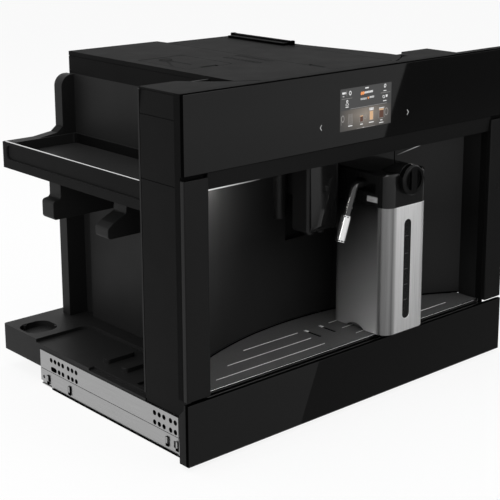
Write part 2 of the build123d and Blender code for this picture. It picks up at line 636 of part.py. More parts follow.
def lid_opening(limits):
    """Plan of an opening of the top cover, with the gap round its lid."""
    x0, x1, y0, y1 = limits
    return plan_box(x0 - LID_GAP, x1 + LID_GAP, y0 - LID_GAP, y1 + LID_GAP, 6)


def hinge_posts(x, z, spans, pin_radius, floor):
    """Pairs of posts along Y with pins between them, for a barrel at x, z."""
    first, last = spans
    posts = block(x - 3.5, x + 3.5, first - 6, first - 0.5, floor, z + 3)
    posts += block(x - 3.5, x + 3.5, last + 0.5, last + 6, floor, z + 3)
    posts += bar_y(x, first - 1, first + 6, z, pin_radius)
    posts += bar_y(x, last - 6, last + 1, z, pin_radius)
    return posts


def top_cover():
    """Top cover of the core: a shallow lid with a skirt, two openings and a powder chute."""
    front_cut = plan_box(-HALF_BODY, HALF_BODY, -10, FRONT_DEPTH + 2)
    cover = upright(cover_outline() - front_cut, SKIRT_BOTTOM, BODY_TOP)
    hollow = cover_outline(SKIN) - plan_box(-HALF_BODY, HALF_BODY, -10, FRONT_DEPTH + 2 + SKIN)
    cover -= upright(hollow, SKIRT_BOTTOM - 1, BODY_TOP - SKIN)
    # thin lip line just under the top edge of the left side
    cover -= block(CORE_LEFT - 1, CORE_LEFT + 0.8, PILLAR_DEPTH + 5, CORE_REAR + 1,
                   BODY_TOP - 7, BODY_TOP - 6)
    cover -= upright(lid_opening(BEAN_LID), BODY_TOP - SKIN - 1, BODY_TOP + 1)
    cover += ground_chute()
    x0, x1, y0, y1 = FLAP
    square_rear = plan_box(x0 - LID_GAP, x1 + LID_GAP, y1 - 20, y1 + LID_GAP)
    cover -= upright(lid_opening(FLAP) + square_rear, BODY_TOP - SKIN, BODY_TOP + 1)
    cover -= bar_x(FLAP[0] - 4, FLAP[1] + 4, flap_axis()[0], flap_axis()[1], FLAP_PIN + RUN)
    return cover + hinge_posts(BEAN_HINGE_X, BEAN_HINGE_Z, BEAN_BARREL, 1.5, BODY_TOP - 1)


# ---------------------------------------------------------------- bean container, lids
def tray_below(limits, depth, wall, radius):
    """A shallow tray that hangs under an opening of the top cover, with its rim flat against it."""
    x0, x1, y0, y1 = limits
    top = BODY_TOP - SKIN
    rim = upright(plan_box(x0 - 4, x1 + 3, y0 - 5, y1 + 4, radius + 3), top - 2, top)
    rim &= upright(cover_outline(SKIN + CLEAR), top - 3, top + 1)
    outer = upright(plan_box(x0 - wall, x1 + wall, y0 - wall, y1 + wall, radius), top - depth, top)
    inner = upright(plan_box(x0, x1, y0, y1, radius), top - depth + wall, top + 1)
    return rim, outer, inner


def frustum(x, y, low, high, foot, mouth):
    """A four-sided funnel body, from half-widths at its foot to half-widths at its mouth."""
    front = make_face(Polyline((x - foot[0], low), (x + foot[0], low), (x + mouth[0], high),
                               (x - mouth[0], high), close=True))
    side = [(y - foot[1], low), (y + foot[1], low), (y + mouth[1], high), (y - mouth[1], high)]
    return along(front, y - mouth[1], y + mouth[1]) & across(side, x - mouth[0], x + mouth[0])


def bean_hopper():
    """Bean container: a dry deck in front and a funnel behind it that leads to the grinder."""
    rim, outer, inner = tray_below(BEAN_LID, 22, 2, 6)
    x0, x1, y0, y1 = BEAN_LID
    top = BODY_TOP - SKIN
    half = (y1 - 8 - THROAT_Y)
    low, high = top - 66, top - 20
    funnel = frustum(BEAN_X, THROAT_Y, low, high, (24.5, 24.5), ((x1 - x0) / 2 - 3, half + 3))
    void = frustum(BEAN_X, THROAT_Y, low, high, (22, 22), ((x1 - x0) / 2 - 6, half))
    hole = upright(plan_box(x0 + 6, x1 - 6, THROAT_Y - half, THROAT_Y + half), top - 23, high)
    spindle = post(*dial_centre(), top - 21, top - 10, 3)
    return rim + (outer + funnel) - inner - void - hole + spindle


def dial_centre():
    """Centre of the grind dial, on the deck in front of the beans."""
    return BEAN_X, BEAN_LID_FRONT + 70


def bean_lid():
    """Bean-container lid, flush with the cover, with the hinge barrel along its right."""
    x0, x1, y0, y1 = BEAN_LID
    lid = upright(plan_box(x0, x1, y0, y1, 5.5), BODY_TOP - LID_SHEET + 0.3, BODY_TOP)
    first, last = BEAN_BARREL
    strap = block(x1 - 8, BEAN_HINGE_X, first, last, BODY_TOP - 0.5, BEAN_HINGE_Z)
    strap -= block(x1, BEAN_HINGE_X + 1, first - 1, last + 1, BODY_TOP - 1, BODY_TOP + 0.4)
    barrel = bar_y(BEAN_HINGE_X, first, last, BEAN_HINGE_Z, BEAN_HINGE_RADIUS)
    bore = bar_y(BEAN_HINGE_X, first - 1, last + 1, BEAN_HINGE_Z, 1.5 + RUN)
    # finger dip at the left edge
    dip = bar_y(x0, y0 + 20, y0 + 48, BODY_TOP + 21, 22.6)
    return lid + strap + barrel - bore - dip


def ground_chute():
    """Funnel for ready-ground coffee, moulded under the cover below its own flap."""
    rim, outer, inner = tray_below(FLAP, 16, 2, 6)
    top = BODY_TOP - SKIN
    spout = post(CHUTE_X, CHUTE_Y, top - 46, top - 12, 17)
    bore = post(CHUTE_X, CHUTE_Y, top - 47, top + 1, 15)
    return rim + (outer + spout) - inner - bore


def flap_axis():
    """Y and Z of the flap's hinge, inside its rounded rear edge."""
    half = (LID_SHEET - 0.3) / 2
    return FLAP[3] - half, BODY_TOP - half


def ground_flap():
    """Flap over the funnel, hinged inside its rounded rear edge."""
    x0, x1, y0, y1 = FLAP
    y, z = flap_axis()
    half = (LID_SHEET - 0.3) / 2
    front = upright(plan_box(x0, x1, y0, y0 + 20, 5.5), z - half, z + half)
    flap = front + block(x0, x1, y0 + 10, y, z - half, z + half) + bar_x(x0, x1, y, z, half)
    flap += bar_x(x0 - 3, x1 + 3, y, z, FLAP_PIN)
    dip = bar_x(CHUTE_X - 14, CHUTE_X + 14, y0, BODY_TOP + 21, 22.6)
    return flap - dip


def grind_dial():
    """Grind-setting knob on the deck in front of the beans, fluted for grip."""
    x, y = dial_centre()
    base = BODY_TOP - SKIN - 20 + CLEAR
    knob = post(x, y, base, base + 13, 20) - post(x, y, base - 1, base + 11, 3 + RUN)
    for n in range(12):
        angle = math.radians(30 * n)
        knob -= post(x + 22 * math.cos(angle), y + 22 * math.sin(angle), base + 3, base + 14, 4)
    pointer = block(x - 1.5, x + 1.5, y + 4, y + 17, base + 13, base + 15)
    return knob + pointer


# ---------------------------------------------------------------- works inside the core
def inner_frame():
    """Two side plates and a bridge that carry the brewing works over the base."""
    plates = Part()
    for x in (PLATE_LEFT, PLATE_RIGHT):
        plate = block(x - 2, x + 2, WORKS_FRONT, WORKS_REAR, BASE_TOP, BRIDGE_Z)
        for y in (WORKS_FRONT + 35, WORKS_REAR - 35):
            plate -= block(x - 3, x + 3, y - 6, y + 6, BRIDGE_Z - 28, BRIDGE_Z - 16)
        plates += plate
    bridge = block(PLATE_LEFT - 2, PLATE_RIGHT + 2, WORKS_FRONT, WORKS_REAR, BRIDGE_Z, BRIDGE_Z + 4)
    opening = drum(BEAN_X, THROAT_Y, BRIDGE_Z - 2, BRIDGE_Z + 6, 44)
    return plates + bridge - opening - drum(CHUTE_X, CHUTE_Y, BRIDGE_Z - 2, BRIDGE_Z + 6, 18)


def grinder():
    """Burr grinder and its motor, hung from the bridge under the funnel."""
    head_bottom, head_top = BRIDGE_Z - 12, BODY_TOP - SKIN - 66
    head = drum(BEAN_X, THROAT_Y, head_bottom, head_top, 42)
    throat = drum(BEAN_X, THROAT_Y, head_bottom + 10, head_top + 1, 18)
    collar = drum(BEAN_X, THROAT_Y, BRIDGE_Z + 4, BRIDGE_Z + 8, 50)
    motor = drum(BEAN_X - 20, THROAT_Y, head_bottom - 34, head_bottom, 24)
    return head + collar + motor - throat


def brew_unit():
    """Removable brew group: a frame, the brew cylinder, the piston and its lead screw."""
    x0, x1 = BREW_X - 58, BREW_X + 58
    y0, y1 = BREW_Y - 55, BREW_Y + 47
    floor, roof = BREW_BOTTOM + 8, BREW_TOP - 8
    frame = block(x0, x1, y0, y1, BREW_BOTTOM, floor) + block(x0, x1, y0, y1, roof, BREW_TOP)
    frame += block(x0, x0 + 8, y0, y1, floor, roof) + block(x1 - 8, x1, y0, y1, floor, roof)
    x = BREW_X - 6
    cylinder = drum(x, BREW_Y, floor, roof - 38, 31) - drum(x, BREW_Y, floor + 12, roof - 36, 27)
    piston = drum(x, BREW_Y, roof - 60, roof, 12) + drum(x, BREW_Y, roof - 60, roof - 50, 26.5)
    screw = drum(x + 44, BREW_Y, floor, roof, 5)
    grip_z = floor + (roof - floor) * 0.4
    handle = block(x - 2, x + 14, y0 - 10, BREW_Y - 27, grip_z - 8, grip_z + 8)
    handle += block(x - 22, x + 34, y0 - 14, y0 - 9, grip_z - 6, grip_z + 6)
    stays = block(PLATE_LEFT + 2, x0, BREW_Y - 15, BREW_Y + 15, BREW_BOTTOM, floor)
    stays += block(x1, PLATE_RIGHT - 2, BREW_Y - 15, BREW_Y + 15, BREW_BOTTOM, floor)
    return frame + cylinder + piston + screw + handle + stays


def grounds_container():
    """Bin for used coffee grounds, standing on the base under the brew group."""
    x0, x1 = PLATE_LEFT + 22, PLATE_RIGHT - 40
    y0, y1 = WORKS_FRONT + 2, WORKS_FRONT + 150
    top = BREW_BOTTOM - 18
    bin_ = upright(plan_box(x0, x1, y0, y1, 12), BASE_TOP, top)
    bin_ -= upright(plan_box(x0 + 2.5, x1 - 2.5, y0 + 2.5, y1 - 2.5, 10), BASE_TOP + 2.5, top + 1)
    middle = (x0 + x1) / 2
    return bin_ + block(middle - 30, middle + 30, y0 - 5.5, y0 + 0.5, top - 18, top - 10)


def pump():
    """Vibration pump on its rubber feet, behind the brew group."""
    x, y, z = PLATE_LEFT + 2, WORKS_REAR - 22, BASE_TOP + 26
    body = bar_x(x + 8, x + 48, y, z, 19) + bar_x(x + 48, x + 68, y, z, 9) + bar_x(x, x + 8, y, z, 7)
    for left in (x + 12, x + 32):
        body += block(left, left + 12, y - 12, y + 12, BASE_TOP, BASE_TOP + 12)
    return body


def boiler():
    """Thermoblock heater with its fins, between the side plates."""
    x0, x1 = PLATE_RIGHT - 76, PLATE_RIGHT - 30
    y0, y1 = WORKS_REAR - 54, WORKS_REAR - 6
    body = block(x0, x1, y0, y1, BASE_TOP, BASE_TOP + 92)
    for n in range(5):
        z = BASE_TOP + 14 + n * 15
        body += block(x0 - 6, x1 + 6, y0, y1, z, z + 3)
    return body


def power_board():
    """Power electronics on the rear wall."""
    x0, x1 = CORE_RIGHT - 130, CORE_RIGHT - 14
    z0, z1 = BASE_TOP + 72, SKIRT_BOTTOM - 128
    face = CORE_REAR - 8
    board = block(x0, x1, face, face + 1.6, z0, z1)
    for x in (x0 + 8, x1 - 8):
        for z in (z0 + 8, z1 - 8):
            board += block(x - 4, x + 4, face + 1.6, CORE_REAR - SKIN, z - 4, z + 4)
    board += block(x0 + 20, x0 + 50, face - 16, face, z0 + 20, z0 + 60)
    return board + block(x0 + 70, x0 + 102, face - 22, face, z1 - 70, z1 - 28)


def power_inlet():
    """Mains inlet with the switch's frame. The lead itself isn't part of the model."""
    x = inlet_x()
    face = CORE_REAR
    body = block(x + 0.5, x + 27.5, face - 22, face + 0.6, SWITCH_Z - 11.5, SWITCH_Z + 11.5)
    flange = block(x - 4, x + 70, face, face + 2.5, SWITCH_Z - 18, SWITCH_Z + 18)
    well = block(x + 3.5, x + 24.5, face - 16, face + 3, SWITCH_Z - 8, SWITCH_Z + 8)
    pins = Part()
    for dx, dz in ((14, 3.5), (8, -3), (20, -3)):
        pins += block(x + dx - 1, x + dx + 1, face - 17, face - 2, SWITCH_Z + dz - 2, SWITCH_Z + dz + 2)
    frame = block(x + 46.5, x + 65.5, face - 9, face + 0.6, SWITCH_Z - 13.5, SWITCH_Z + 13.5)
    window = block(x + 48, x + 64, face - 10, face + 3, SWITCH_Z - 11.8, SWITCH_Z + 11.8)
    axle = bar_x(x + 47.5, x + 52, SWITCH_Y, SWITCH_Z, 1.2)
    axle += bar_x(x + 60, x + 64.5, SWITCH_Y, SWITCH_Z, 1.2)
    return body + flange + frame - well - window + pins + axle


def main_switch():
    """Rocker of the main switch, which tips about its middle."""
    x = inlet_x() + 56
    half = 8.6
    side = [(SWITCH_Y - 3, SWITCH_Z - half), (CORE_REAR + 3.4, SWITCH_Z - half - 0.8),
            (CORE_REAR + 1.6, SWITCH_Z), (CORE_REAR + 3.4, SWITCH_Z + half + 0.8),
            (SWITCH_Y - 3, SWITCH_Z + half)]
    rocker = across(side, x - 7.4, x + 7.4)
    bore = bar_x(x - 8, x - 3.6, SWITCH_Y, SWITCH_Z, 1.2 + RUN)
    return rocker - bore - bar_x(x + 3.6, x + 8, SWITCH_Y, SWITCH_Z, 1.2 + RUN)


# ---------------------------------------------------------------- left bay
def shelf():
    """Accessory shelf: a shallow tray with a beaded outer face and a rising rear rim."""
    front = BULKHEAD_FRONT + SKIN
    outer = block(-HALF_BODY, CORE_LEFT, front, SHELF_REAR, SHELF_BOTTOM, SHELF_TOP)
    outer -= block(FLANGE_LEFT, CORE_LEFT + 1, FLANGE_FRONT, FLANGE_REAR, SHELF_BOTTOM - 1,
                   SHELF_TOP + 1)
    inside = plan_box(-HALF_BODY + 5, CORE_LEFT - 3, front + 3, SHELF_REAR - 20, 6)
    well = upright(inside, SHELF_FLOOR, SHELF_TOP + 1)
    under = upright(inside, SHELF_BOTTOM - 1, SHELF_FLOOR - 3)
    pads = Part()
    for y in HOOK_CENTRES:
        pads += block(-HALF_BODY + 2, CORE_LEFT - 2, y - HOOK_WIDTH / 2, y + HOOK_WIDTH / 2,
                      SHELF_BOTTOM, SHELF_FLOOR)
    # long sunk panel in the outer face, under the rod
    panel = Plane.YZ.offset(-HALF_BODY - 1) * Pos((front + SHELF_REAR) / 2 - 9, SHELF_BOTTOM + 23)
    bead = extrude(panel * RectangleRounded(SHELF_REAR - front, 20, 7), amount=3.2)
    groove = bar_y(rod_x(), front - 1, SHELF_REAR - 4, rod_z(), ROD_RADIUS)
    tray = outer - well - under + pads - bead - groove
    # the rear rim climbs to the flange
    left = FLANGE_LEFT
    rise = make_face(Polyline((left, SHELF_TOP), (left - 40, SHELF_TOP), (left - 10, SHELF_TOP + 4),
                              (left, SHELF_TOP + 12), close=True))
    return tray + along(rise, FLANGE_FRONT, SHELF_REAR)


def rod_x():
    """X of the shelf's gallery rod."""
    return ROD_RADIUS * 2 - HALF_BODY


def rod_z():
    """Height of the shelf's gallery rod."""
    return SHELF_TOP - 1.0


def shelf_rod():
    """Chrome gallery rod along the shelf's outer edge."""
    return bar_y(rod_x(), BULKHEAD_FRONT + SKIN, SHELF_REAR - 4, rod_z(), ROD_RADIUS)


def cup_hooks():
    """Two hooks under the shelf: a curved one in front, and a straight one behind it."""
    x, z = -HALF_BODY, SHELF_BOTTOM
    curved = [(x + 39, z - 10), (x + 37, z - 27), (x + 17, z - 36), (x + 8, z - 43),
              (x + 8, HOOK_BOTTOM), (x + 24, HOOK_BOTTOM)]
    straight = [(x + 20.5, z - 8), (x + 20.5, z - 29), (x + 8, z - 31), (x + 8, HOOK_BOTTOM),
                (x + 24, HOOK_BOTTOM)]
    hooks = Part()
    for y, points in zip(HOOK_CENTRES, (curved, straight)):
        lip = FilletPolyline(*points, radius=5)
        rest = Polyline(points[-1], (CORE_LEFT, HOOK_BOTTOM), (CORE_LEFT, z), (points[0][0], z),
                        points[0])
        outline = make_face(Curve() + [lip, rest])
        hooks += along(outline, y - HOOK_WIDTH / 2, y + HOOK_WIDTH / 2)
    first, last = HOOK_CENTRES
    return hooks + block(CORE_LEFT - 2.5, CORE_LEFT, first, last, HOOK_BOTTOM, SHELF_BOTTOM)


# ---------------------------------------------------------------- right bay
def water_tank():
    """Water tank that draws out to the right, with a sunk grip in its outer face."""
    outline = plan_box(TANK_LEFT, TANK_RIGHT, TANK_FRONT, TANK_REAR, 14)
    inside = plan_box(TANK_LEFT + TANK_WALL, TANK_RIGHT - TANK_WALL, TANK_FRONT + TANK_WALL,
                      TANK_REAR - TANK_WALL, 14 - TANK_WALL)
    tank = upright(outline, BASE_TOP + CLEAR, TANK_TOP)
    tank -= upright(inside, BASE_TOP + CLEAR + TANK_WALL, TANK_TOP + 1)
    # closed deck along the inner side, with the lid's hinge posts
    tank += upright(outline & plan_box(TANK_LEFT, TANK_DECK_RIGHT, 0, BODY_REAR),
                    TANK_TOP - TANK_WALL, TANK_TOP)
    tank += hinge_posts(TANK_DECK_RIGHT - 4, TANK_HINGE_Z, TANK_BARREL, 1.2, TANK_TOP - 1)
    y_mid = (TANK_FRONT + TANK_REAR) / 2
    z0, z1 = TANK_TOP - 116, TANK_TOP - 66
    grip = block(TANK_RIGHT - 22, TANK_RIGHT + 1, y_mid - 55, y_mid + 55, z0, z1)
    pocket = block(TANK_RIGHT - 22 - TANK_WALL, TANK_RIGHT - TANK_WALL, y_mid - 55 - TANK_WALL,
                   y_mid + 55 + TANK_WALL, z0 - TANK_WALL, z1 + TANK_WALL)
    return tank + pocket - grip


def tank_lid():
    """Lid of the water tank, hinged on its deck, with a dip to lift it by."""
    x = TANK_DECK_RIGHT - 4
    first, last = TANK_BARREL
    z0, z1 = TANK_HINGE_Z - TANK_LID, TANK_HINGE_Z
    outline = plan_box(x, TANK_RIGHT, TANK_FRONT, TANK_REAR, 12)
    outline &= plan_box(TANK_DECK_RIGHT + 1, TANK_RIGHT, TANK_FRONT, TANK_REAR)
    plate = upright(outline, z0, z1) + block(x, TANK_DECK_RIGHT + 2, first, last, z0, z1)
    barrel = bar_y(x, first, last, TANK_HINGE_Z, TANK_LID)
    bore = bar_y(x, first - 1, last + 1, TANK_HINGE_Z, 1.2 + RUN)
    middle = (TANK_FRONT + TANK_REAR) / 2
    scoop = bar_y(TANK_RIGHT, middle - 14, middle + 14, z1 + 20, 21.6)
    return plate + barrel - bore - scoop


# ---------------------------------------------------------------- service door
def service_door():
    """Curved rear wall of the cavity, a door hinged at its left that carries the spout."""
    wall = upright(arc_sector(DOOR_LEFT, DOOR_RIGHT, 3, 0), WALL_BOTTOM, WALL_TOP)
    rear = CAVITY_DEPTH + 20
    track = block(TRACK_X - TRACK_WIDTH / 2, TRACK_X + TRACK_WIDTH / 2, 100, rear, TRACK_BOTTOM,
                  WALL_TOP + 1)
    port = bar_y(JUG_X, 100, rear, KNOB_Z, 8.0)
    # groove that marks the dock panel on the jug's side of the wall
    seam_x = JUG_LEFT + 30
    groove = block(seam_x - 0.7, seam_x + 0.7, 100, arc_y(seam_x) + 1, WALL_BOTTOM - 1, WALL_TOP + 1)
    # stiffening ribs on the hidden side
    ribs = Part()
    for x in (DOOR_LEFT + 53, DOOR_LEFT + 123, -60, 40, CORE_RIGHT - 12):
        y = arc_y(x, 3) - 1.5
        ribs += block(x - 1.5, x + 1.5, y, y + 7, WALL_BOTTOM + 8, WALL_TOP - 6)
    barrel = post(HINGE_X, HINGE_Y, WALL_BOTTOM, BARREL_TOP, HINGE_RADIUS)
    reach = arc_y(DOOR_LEFT + 3) + 1
    arm = block(HINGE_X, DOOR_LEFT + 3, HINGE_Y - 1, reach, WALL_BOTTOM, BARREL_TOP)
    bore = post(HINGE_X, HINGE_Y, WALL_BOTTOM - 1, WALL_BOTTOM + 10, PIN_RADIUS + RUN)
    bore += post(HINGE_X, HINGE_Y, BARREL_TOP - 10, BARREL_TOP + 1, PIN_RADIUS + RUN)
    # half-round column behind the left side of the spout
    x = SPOUT_LEFT + 10.5
    column = (Pos(x, arc_y(x)) * Circle(10.5)) & Pos(CAVITY_X, ARC_Y) * Circle(CAVITY_RADIUS + 1)
    wall += upright(column, SPOUT_BOTTOM + 9, WALL_TOP)
    return wall - track - port - groove + ribs + barrel + arm - bore


def spout_guide():
    """Channel behind the curved wall that the spout's carriage runs in."""
    x0, x1 = TRACK_X - TRACK_WIDTH / 2, TRACK_X + TRACK_WIDTH / 2
    back = arc_y(TRACK_X, 3) + 10
    shape = plan_box(x0 - 2.5, x1 + 2.5, 100, back) - plan_box(x0, x1, 99, back - 2.5)
    shape -= Pos(CAVITY_X, ARC_Y) * Circle(CAVITY_RADIUS + 3)
    floor = plan_box(x0 - 2.5, x1 + 2.5, 100, back) - Pos(CAVITY_X, ARC_Y) * Circle(CAVITY_RADIUS + 3)
    guide = upright(shape, TRACK_BOTTOM - 2.5, WALL_TOP)
    return guide + upright(floor, TRACK_BOTTOM - 2.5, TRACK_BOTTOM)


# ---------------------------------------------------------------- coffee spout
def spout_plan(inset=0.0):
    """Plan of the spout: straight sides and a gently rounded front."""
    x0, x1 = SPOUT_LEFT + inset, SPOUT_RIGHT - inset
    front = SPOUT_FRONT + inset
    bow = 4.0
    rear = SPOUT_FRONT + SPOUT_DEPTH - inset
    edge = ThreePointArc((x0, front + bow), ((x0 + x1) / 2, front), (x1, front + bow))
    rest = Polyline((x1, front + bow), (x1, rear), (x0, rear), (x0, front + bow))
    return make_face(edge + rest)


def spout_shell():
    """Hollow spout housing with its neck and the carriage that runs in the guide."""
    body = upright(spout_plan(), SPOUT_BOTTOM, SPOUT_TOP)
    body = fillet(body.edges().group_by(Axis.Z)[0].group_by(Axis.X)[0], 5)
    body -= upright(spout_plan(SKIN), SPOUT_BOTTOM - 1, SPOUT_TOP - SKIN)
    body -= block(SPOUT_LEFT + 5, SPOUT_RIGHT - 5, SPOUT_FRONT - 5, SPOUT_FRONT + 10,
                  SPOUT_BOTTOM - 1, SPOUT_TOP - 12)
    rear = SPOUT_FRONT + SPOUT_DEPTH
    back = arc_y(TRACK_X, 3) + 7.0
    neck_half = TRACK_WIDTH / 2 - CLEAR
    left, right = TRACK_X - neck_half, TRACK_X + neck_half
    carriage = block(left, right, rear - 1, back, SPOUT_TOP - 64, SPOUT_TOP)
    return body + carriage


def spout_front():
    """Glossy cover on the front of the spout, thicker at the bottom."""
    x0, x1 = SPOUT_LEFT + 5.2, SPOUT_RIGHT - 5.2
    z0, z1 = SPOUT_BOTTOM + 1, SPOUT_TOP - 12.2
    profile = [(SPOUT_FRONT + 10, z0), (SPOUT_FRONT + 3, z0), (SPOUT_FRONT - 0.5, z0 + 8),
               (SPOUT_FRONT + 1.5, z1), (SPOUT_FRONT + 10, z1)]
    return across(profile, x0, x1)


def coffee_nozzles():
    """The two outlets on a bar across the inside of the spout."""
    y = SPOUT_FRONT + 19
    nozzles = block(SPOUT_LEFT + SKIN, SPOUT_RIGHT - SKIN, y - 8, y + 8, SPOUT_BOTTOM + 10,
                    SPOUT_BOTTOM + 22)
    for x in (SPOUT_X - NOZZLE_SPREAD / 2, SPOUT_X + NOZZLE_SPREAD / 2):
        nozzles += post(x, y, SPOUT_BOTTOM - 6, SPOUT_BOTTOM + 12, 5.9)
        nozzles -= post(x, y, SPOUT_BOTTOM - 7, SPOUT_BOTTOM + 16, 3.2)
    return nozzles


# ---------------------------------------------------------------- milk jug
def jug_plan(inset=0.0):
    """Plan of the jug at an inset from its outer face."""
    return plan_box(JUG_LEFT + inset, JUG_RIGHT - inset, JUG_FRONT + inset, JUG_REAR - inset,
                    JUG_CORNER - inset)


def jug_sleeve():
    """Brushed steel wrap round the jug, with the window slot and a scoop to lift it by."""
    sleeve = upright(jug_plan(), JUG_BOTTOM + 0.4, JUG_SLEEVE_TOP)
    sleeve -= upright(jug_plan(SLEEVE_SHEET), JUG_BOTTOM, JUG_SLEEVE_TOP + 1)
    window = Pos(JUG_X, (WINDOW_BOTTOM + WINDOW_TOP) / 2) * Rot(0, 0, 90) * SlotOverall(
        WINDOW_TOP - WINDOW_BOTTOM, WINDOW_WIDTH)
    sleeve -= along(window, JUG_FRONT - 1, JUG_FRONT + 8)
    scoop = bar_x(JUG_LEFT - 1, JUG_LEFT + 3, 48, JUG_BOTTOM - 16, 23)
    return sleeve - scoop


def jug_vessel():
    """Milk container inside the sleeve, open at the top, on four small feet."""
    gap = SLEEVE_SHEET
    vessel = upright(jug_plan(gap), JUG_BOTTOM + 2, JUG_SLEEVE_TOP)
    vessel -= upright(jug_plan(gap + VESSEL_WALL), JUG_BOTTOM + 2 + VESSEL_WALL, JUG_SLEEVE_TOP + 1)
    scoop = bar_x(JUG_LEFT - 1, JUG_LEFT + 3, 48, JUG_BOTTOM - 16, 23)
    vessel -= scoop
    for x in (JUG_LEFT + 18, JUG_RIGHT - 18):
        for y in (JUG_FRONT + 18, JUG_REAR - 18):
            vessel += post(x, y, JUG_BOTTOM, JUG_BOTTOM + 2, 5)
    return vessel


def jug_window():
    """Clear level window set in the sleeve's slot."""
    slot = Pos(JUG_X, (WINDOW_BOTTOM + WINDOW_TOP) / 2) * Rot(0, 0, 90) * SlotOverall(
        WINDOW_TOP - WINDOW_BOTTOM - 0.4, WINDOW_WIDTH - 0.4)
    return along(slot, JUG_FRONT + 0.3, JUG_FRONT + SLEEVE_SHEET)


def jug_lid():
    """Lid with the frothing valve: knob boss, spout recess and the nozzle to the machine."""
    lid = upright(jug_plan(), JUG_SLEEVE_TOP, JUG_LID_TOP)
    lid = chamfer(lid.edges().group_by(Axis.Z)[-1], 2.5)
    hump = bar_y(JUG_X, JUG_FRONT, JUG_FRONT + 40, KNOB_Z, KNOB_RADIUS)
    slope = across([(JUG_FRONT + 8, KNOB_Z + 26), (JUG_FRONT + 42, KNOB_Z + 4),
                    (JUG_FRONT + 42, KNOB_Z + 26)], JUG_LEFT, JUG_RIGHT)
    lid += hump - slope
    # spout recess and button recess on the left
    y, z = MILK_SPOUT_Y, MILK_SPOUT_Z
    lid -= block(JUG_LEFT - 1, JUG_LEFT + 13, y - 25.5, y + 10, z - 9.5, z + 4.5)
    lid -= block(JUG_LEFT - 1, JUG_LEFT + 13, y - 7, y + 10, z - 9.5, z + 9)
    lid -= block(JUG_LEFT - 1, JUG_LEFT + 6, BUTTON_Y - 9.6, BUTTON_Y + 9.6, BUTTON_Z - 4.3,
                 BUTTON_Z + 4.3)
    lid -= bar_x(JUG_LEFT + 5, JUG_LEFT + 12, BUTTON_Y, BUTTON_Z, 1.5 + RUN)
    # seat of the knob's spindle, pin of the milk spout, nozzle at the rear
    lid -= bar_y(JUG_X, JUG_FRONT - 1, JUG_FRONT + 9, KNOB_Z, 4 + RUN)
    lid += bar_x(JUG_LEFT + 3, JUG_LEFT + 13, y, z, 3.0)
    lid += bar_y(JUG_X, JUG_REAR - 1, arc_y(JUG_X) + 5, KNOB_Z, 6.5)
    lid -= bar_y(JUG_X, JUG_REAR + 3, arc_y(JUG_X) + 6, KNOB_Z, 3.0)
    lip = upright(jug_plan(SLEEVE_SHEET + VESSEL_WALL + 0.3), JUG_SLEEVE_TOP - 5, JUG_SLEEVE_TOP + 1)
    lip -= upright(jug_plan(SLEEVE_SHEET + VESSEL_WALL + 3), JUG_SLEEVE_TOP - 6, JUG_SLEEVE_TOP)
    return lid + lip


def froth_knob():
    """Froth-setting knob: a dished disc with a grip bar across it."""
    disc = bar_y(JUG_X, JUG_FRONT - KNOB_DEPTH, JUG_FRONT - 0.4, KNOB_Z, KNOB_RADIUS)
    disc = chamfer(disc.edges().group_by(Axis.Y)[0], 2.4)
    disc -= bar_y(JUG_X, JUG_FRONT - KNOB_DEPTH - 1, JUG_FRONT - KNOB_DEPTH + 5, KNOB_Z, 15)
    grip = block(JUG_X - 5.5, JUG_X + 5.5, JUG_FRONT - KNOB_DEPTH, JUG_FRONT - 4, KNOB_Z - 15.5,
                 KNOB_Z + 15.5)
    spindle = bar_y(JUG_X, JUG_FRONT - 1, JUG_FRONT + 8.5, KNOB_Z, 4)
    return disc + grip + spindle


def intake_tube():
    """Suction tube from the lid to the bottom of the jug."""
    return post(JUG_X, JUG_REAR - 24, JUG_BOTTOM + 10, JUG_SLEEVE_TOP, 3)


def milk_path(length):
    """A point on the milk spout's sloping run, length below its elbow."""
    lean = math.radians(MILK_LEAN)
    return (MILK_ELBOW_X - length * math.sin(lean), MILK_SPOUT_Z - length * math.cos(lean))


def milk_run(start, end, radius):
    """A cylinder along the sloping run of the milk spout."""
    x, z = milk_path(start)
    return Pos(x, MILK_SPOUT_Y, z) * Rot(0, 180 + MILK_LEAN, 0) * Cylinder(
        radius, end - start, align=(Align.CENTER, Align.CENTER, Align.MIN))


def milk_spout():
    """Swivelling spout: a stub in the lid's recess, a bend and a sloping tube."""
    turn = 90 - MILK_LEAN
    setback = MILK_BEND * math.tan(math.radians(turn / 2))
    x, y, z = MILK_ELBOW_X + setback, MILK_SPOUT_Y, MILK_SPOUT_Z
    stub = bar_x(x, JUG_LEFT + 12, y, z, SPOUT_TUBE_RADIUS)
    ring = Plane(origin=(x, y, z), x_dir=(0, 1, 0), z_dir=(1, 0, 0)) * Circle(SPOUT_TUBE_RADIUS)
    bend = revolve(ring, Axis((x, y, z - MILK_BEND), (0, -1, 0)), turn)
    run = milk_run(setback, 54, SPOUT_TUBE_RADIUS) + milk_run(29, 31.5, SPOUT_TUBE_RADIUS + 1.6)
    neck = milk_run(54, 66, SPOUT_TUBE_RADIUS - 0.8)
    bore = bar_x(JUG_LEFT + 2, JUG_LEFT + 13, y, z, 3.0 + RUN)
    return stub + bend + run + neck - bore


def milk_tip():
    """Steel sleeve that slides on the end of the milk spout."""
    return milk_run(42, 78, MILK_TIP_RADIUS) - milk_run(41, 79, SPOUT_TUBE_RADIUS + RUN)


def lid_button():
    """Release button in the left side of the jug's lid."""
    y = BUTTON_Y
    stem = bar_x(JUG_LEFT + 3, JUG_LEFT + 9, y, BUTTON_Z, 1.5)
    return stem + block(JUG_LEFT - 0.4, JUG_LEFT + 3.4, y - 9, y + 9, BUTTON_Z - 3.7, BUTTON_Z + 3.7)


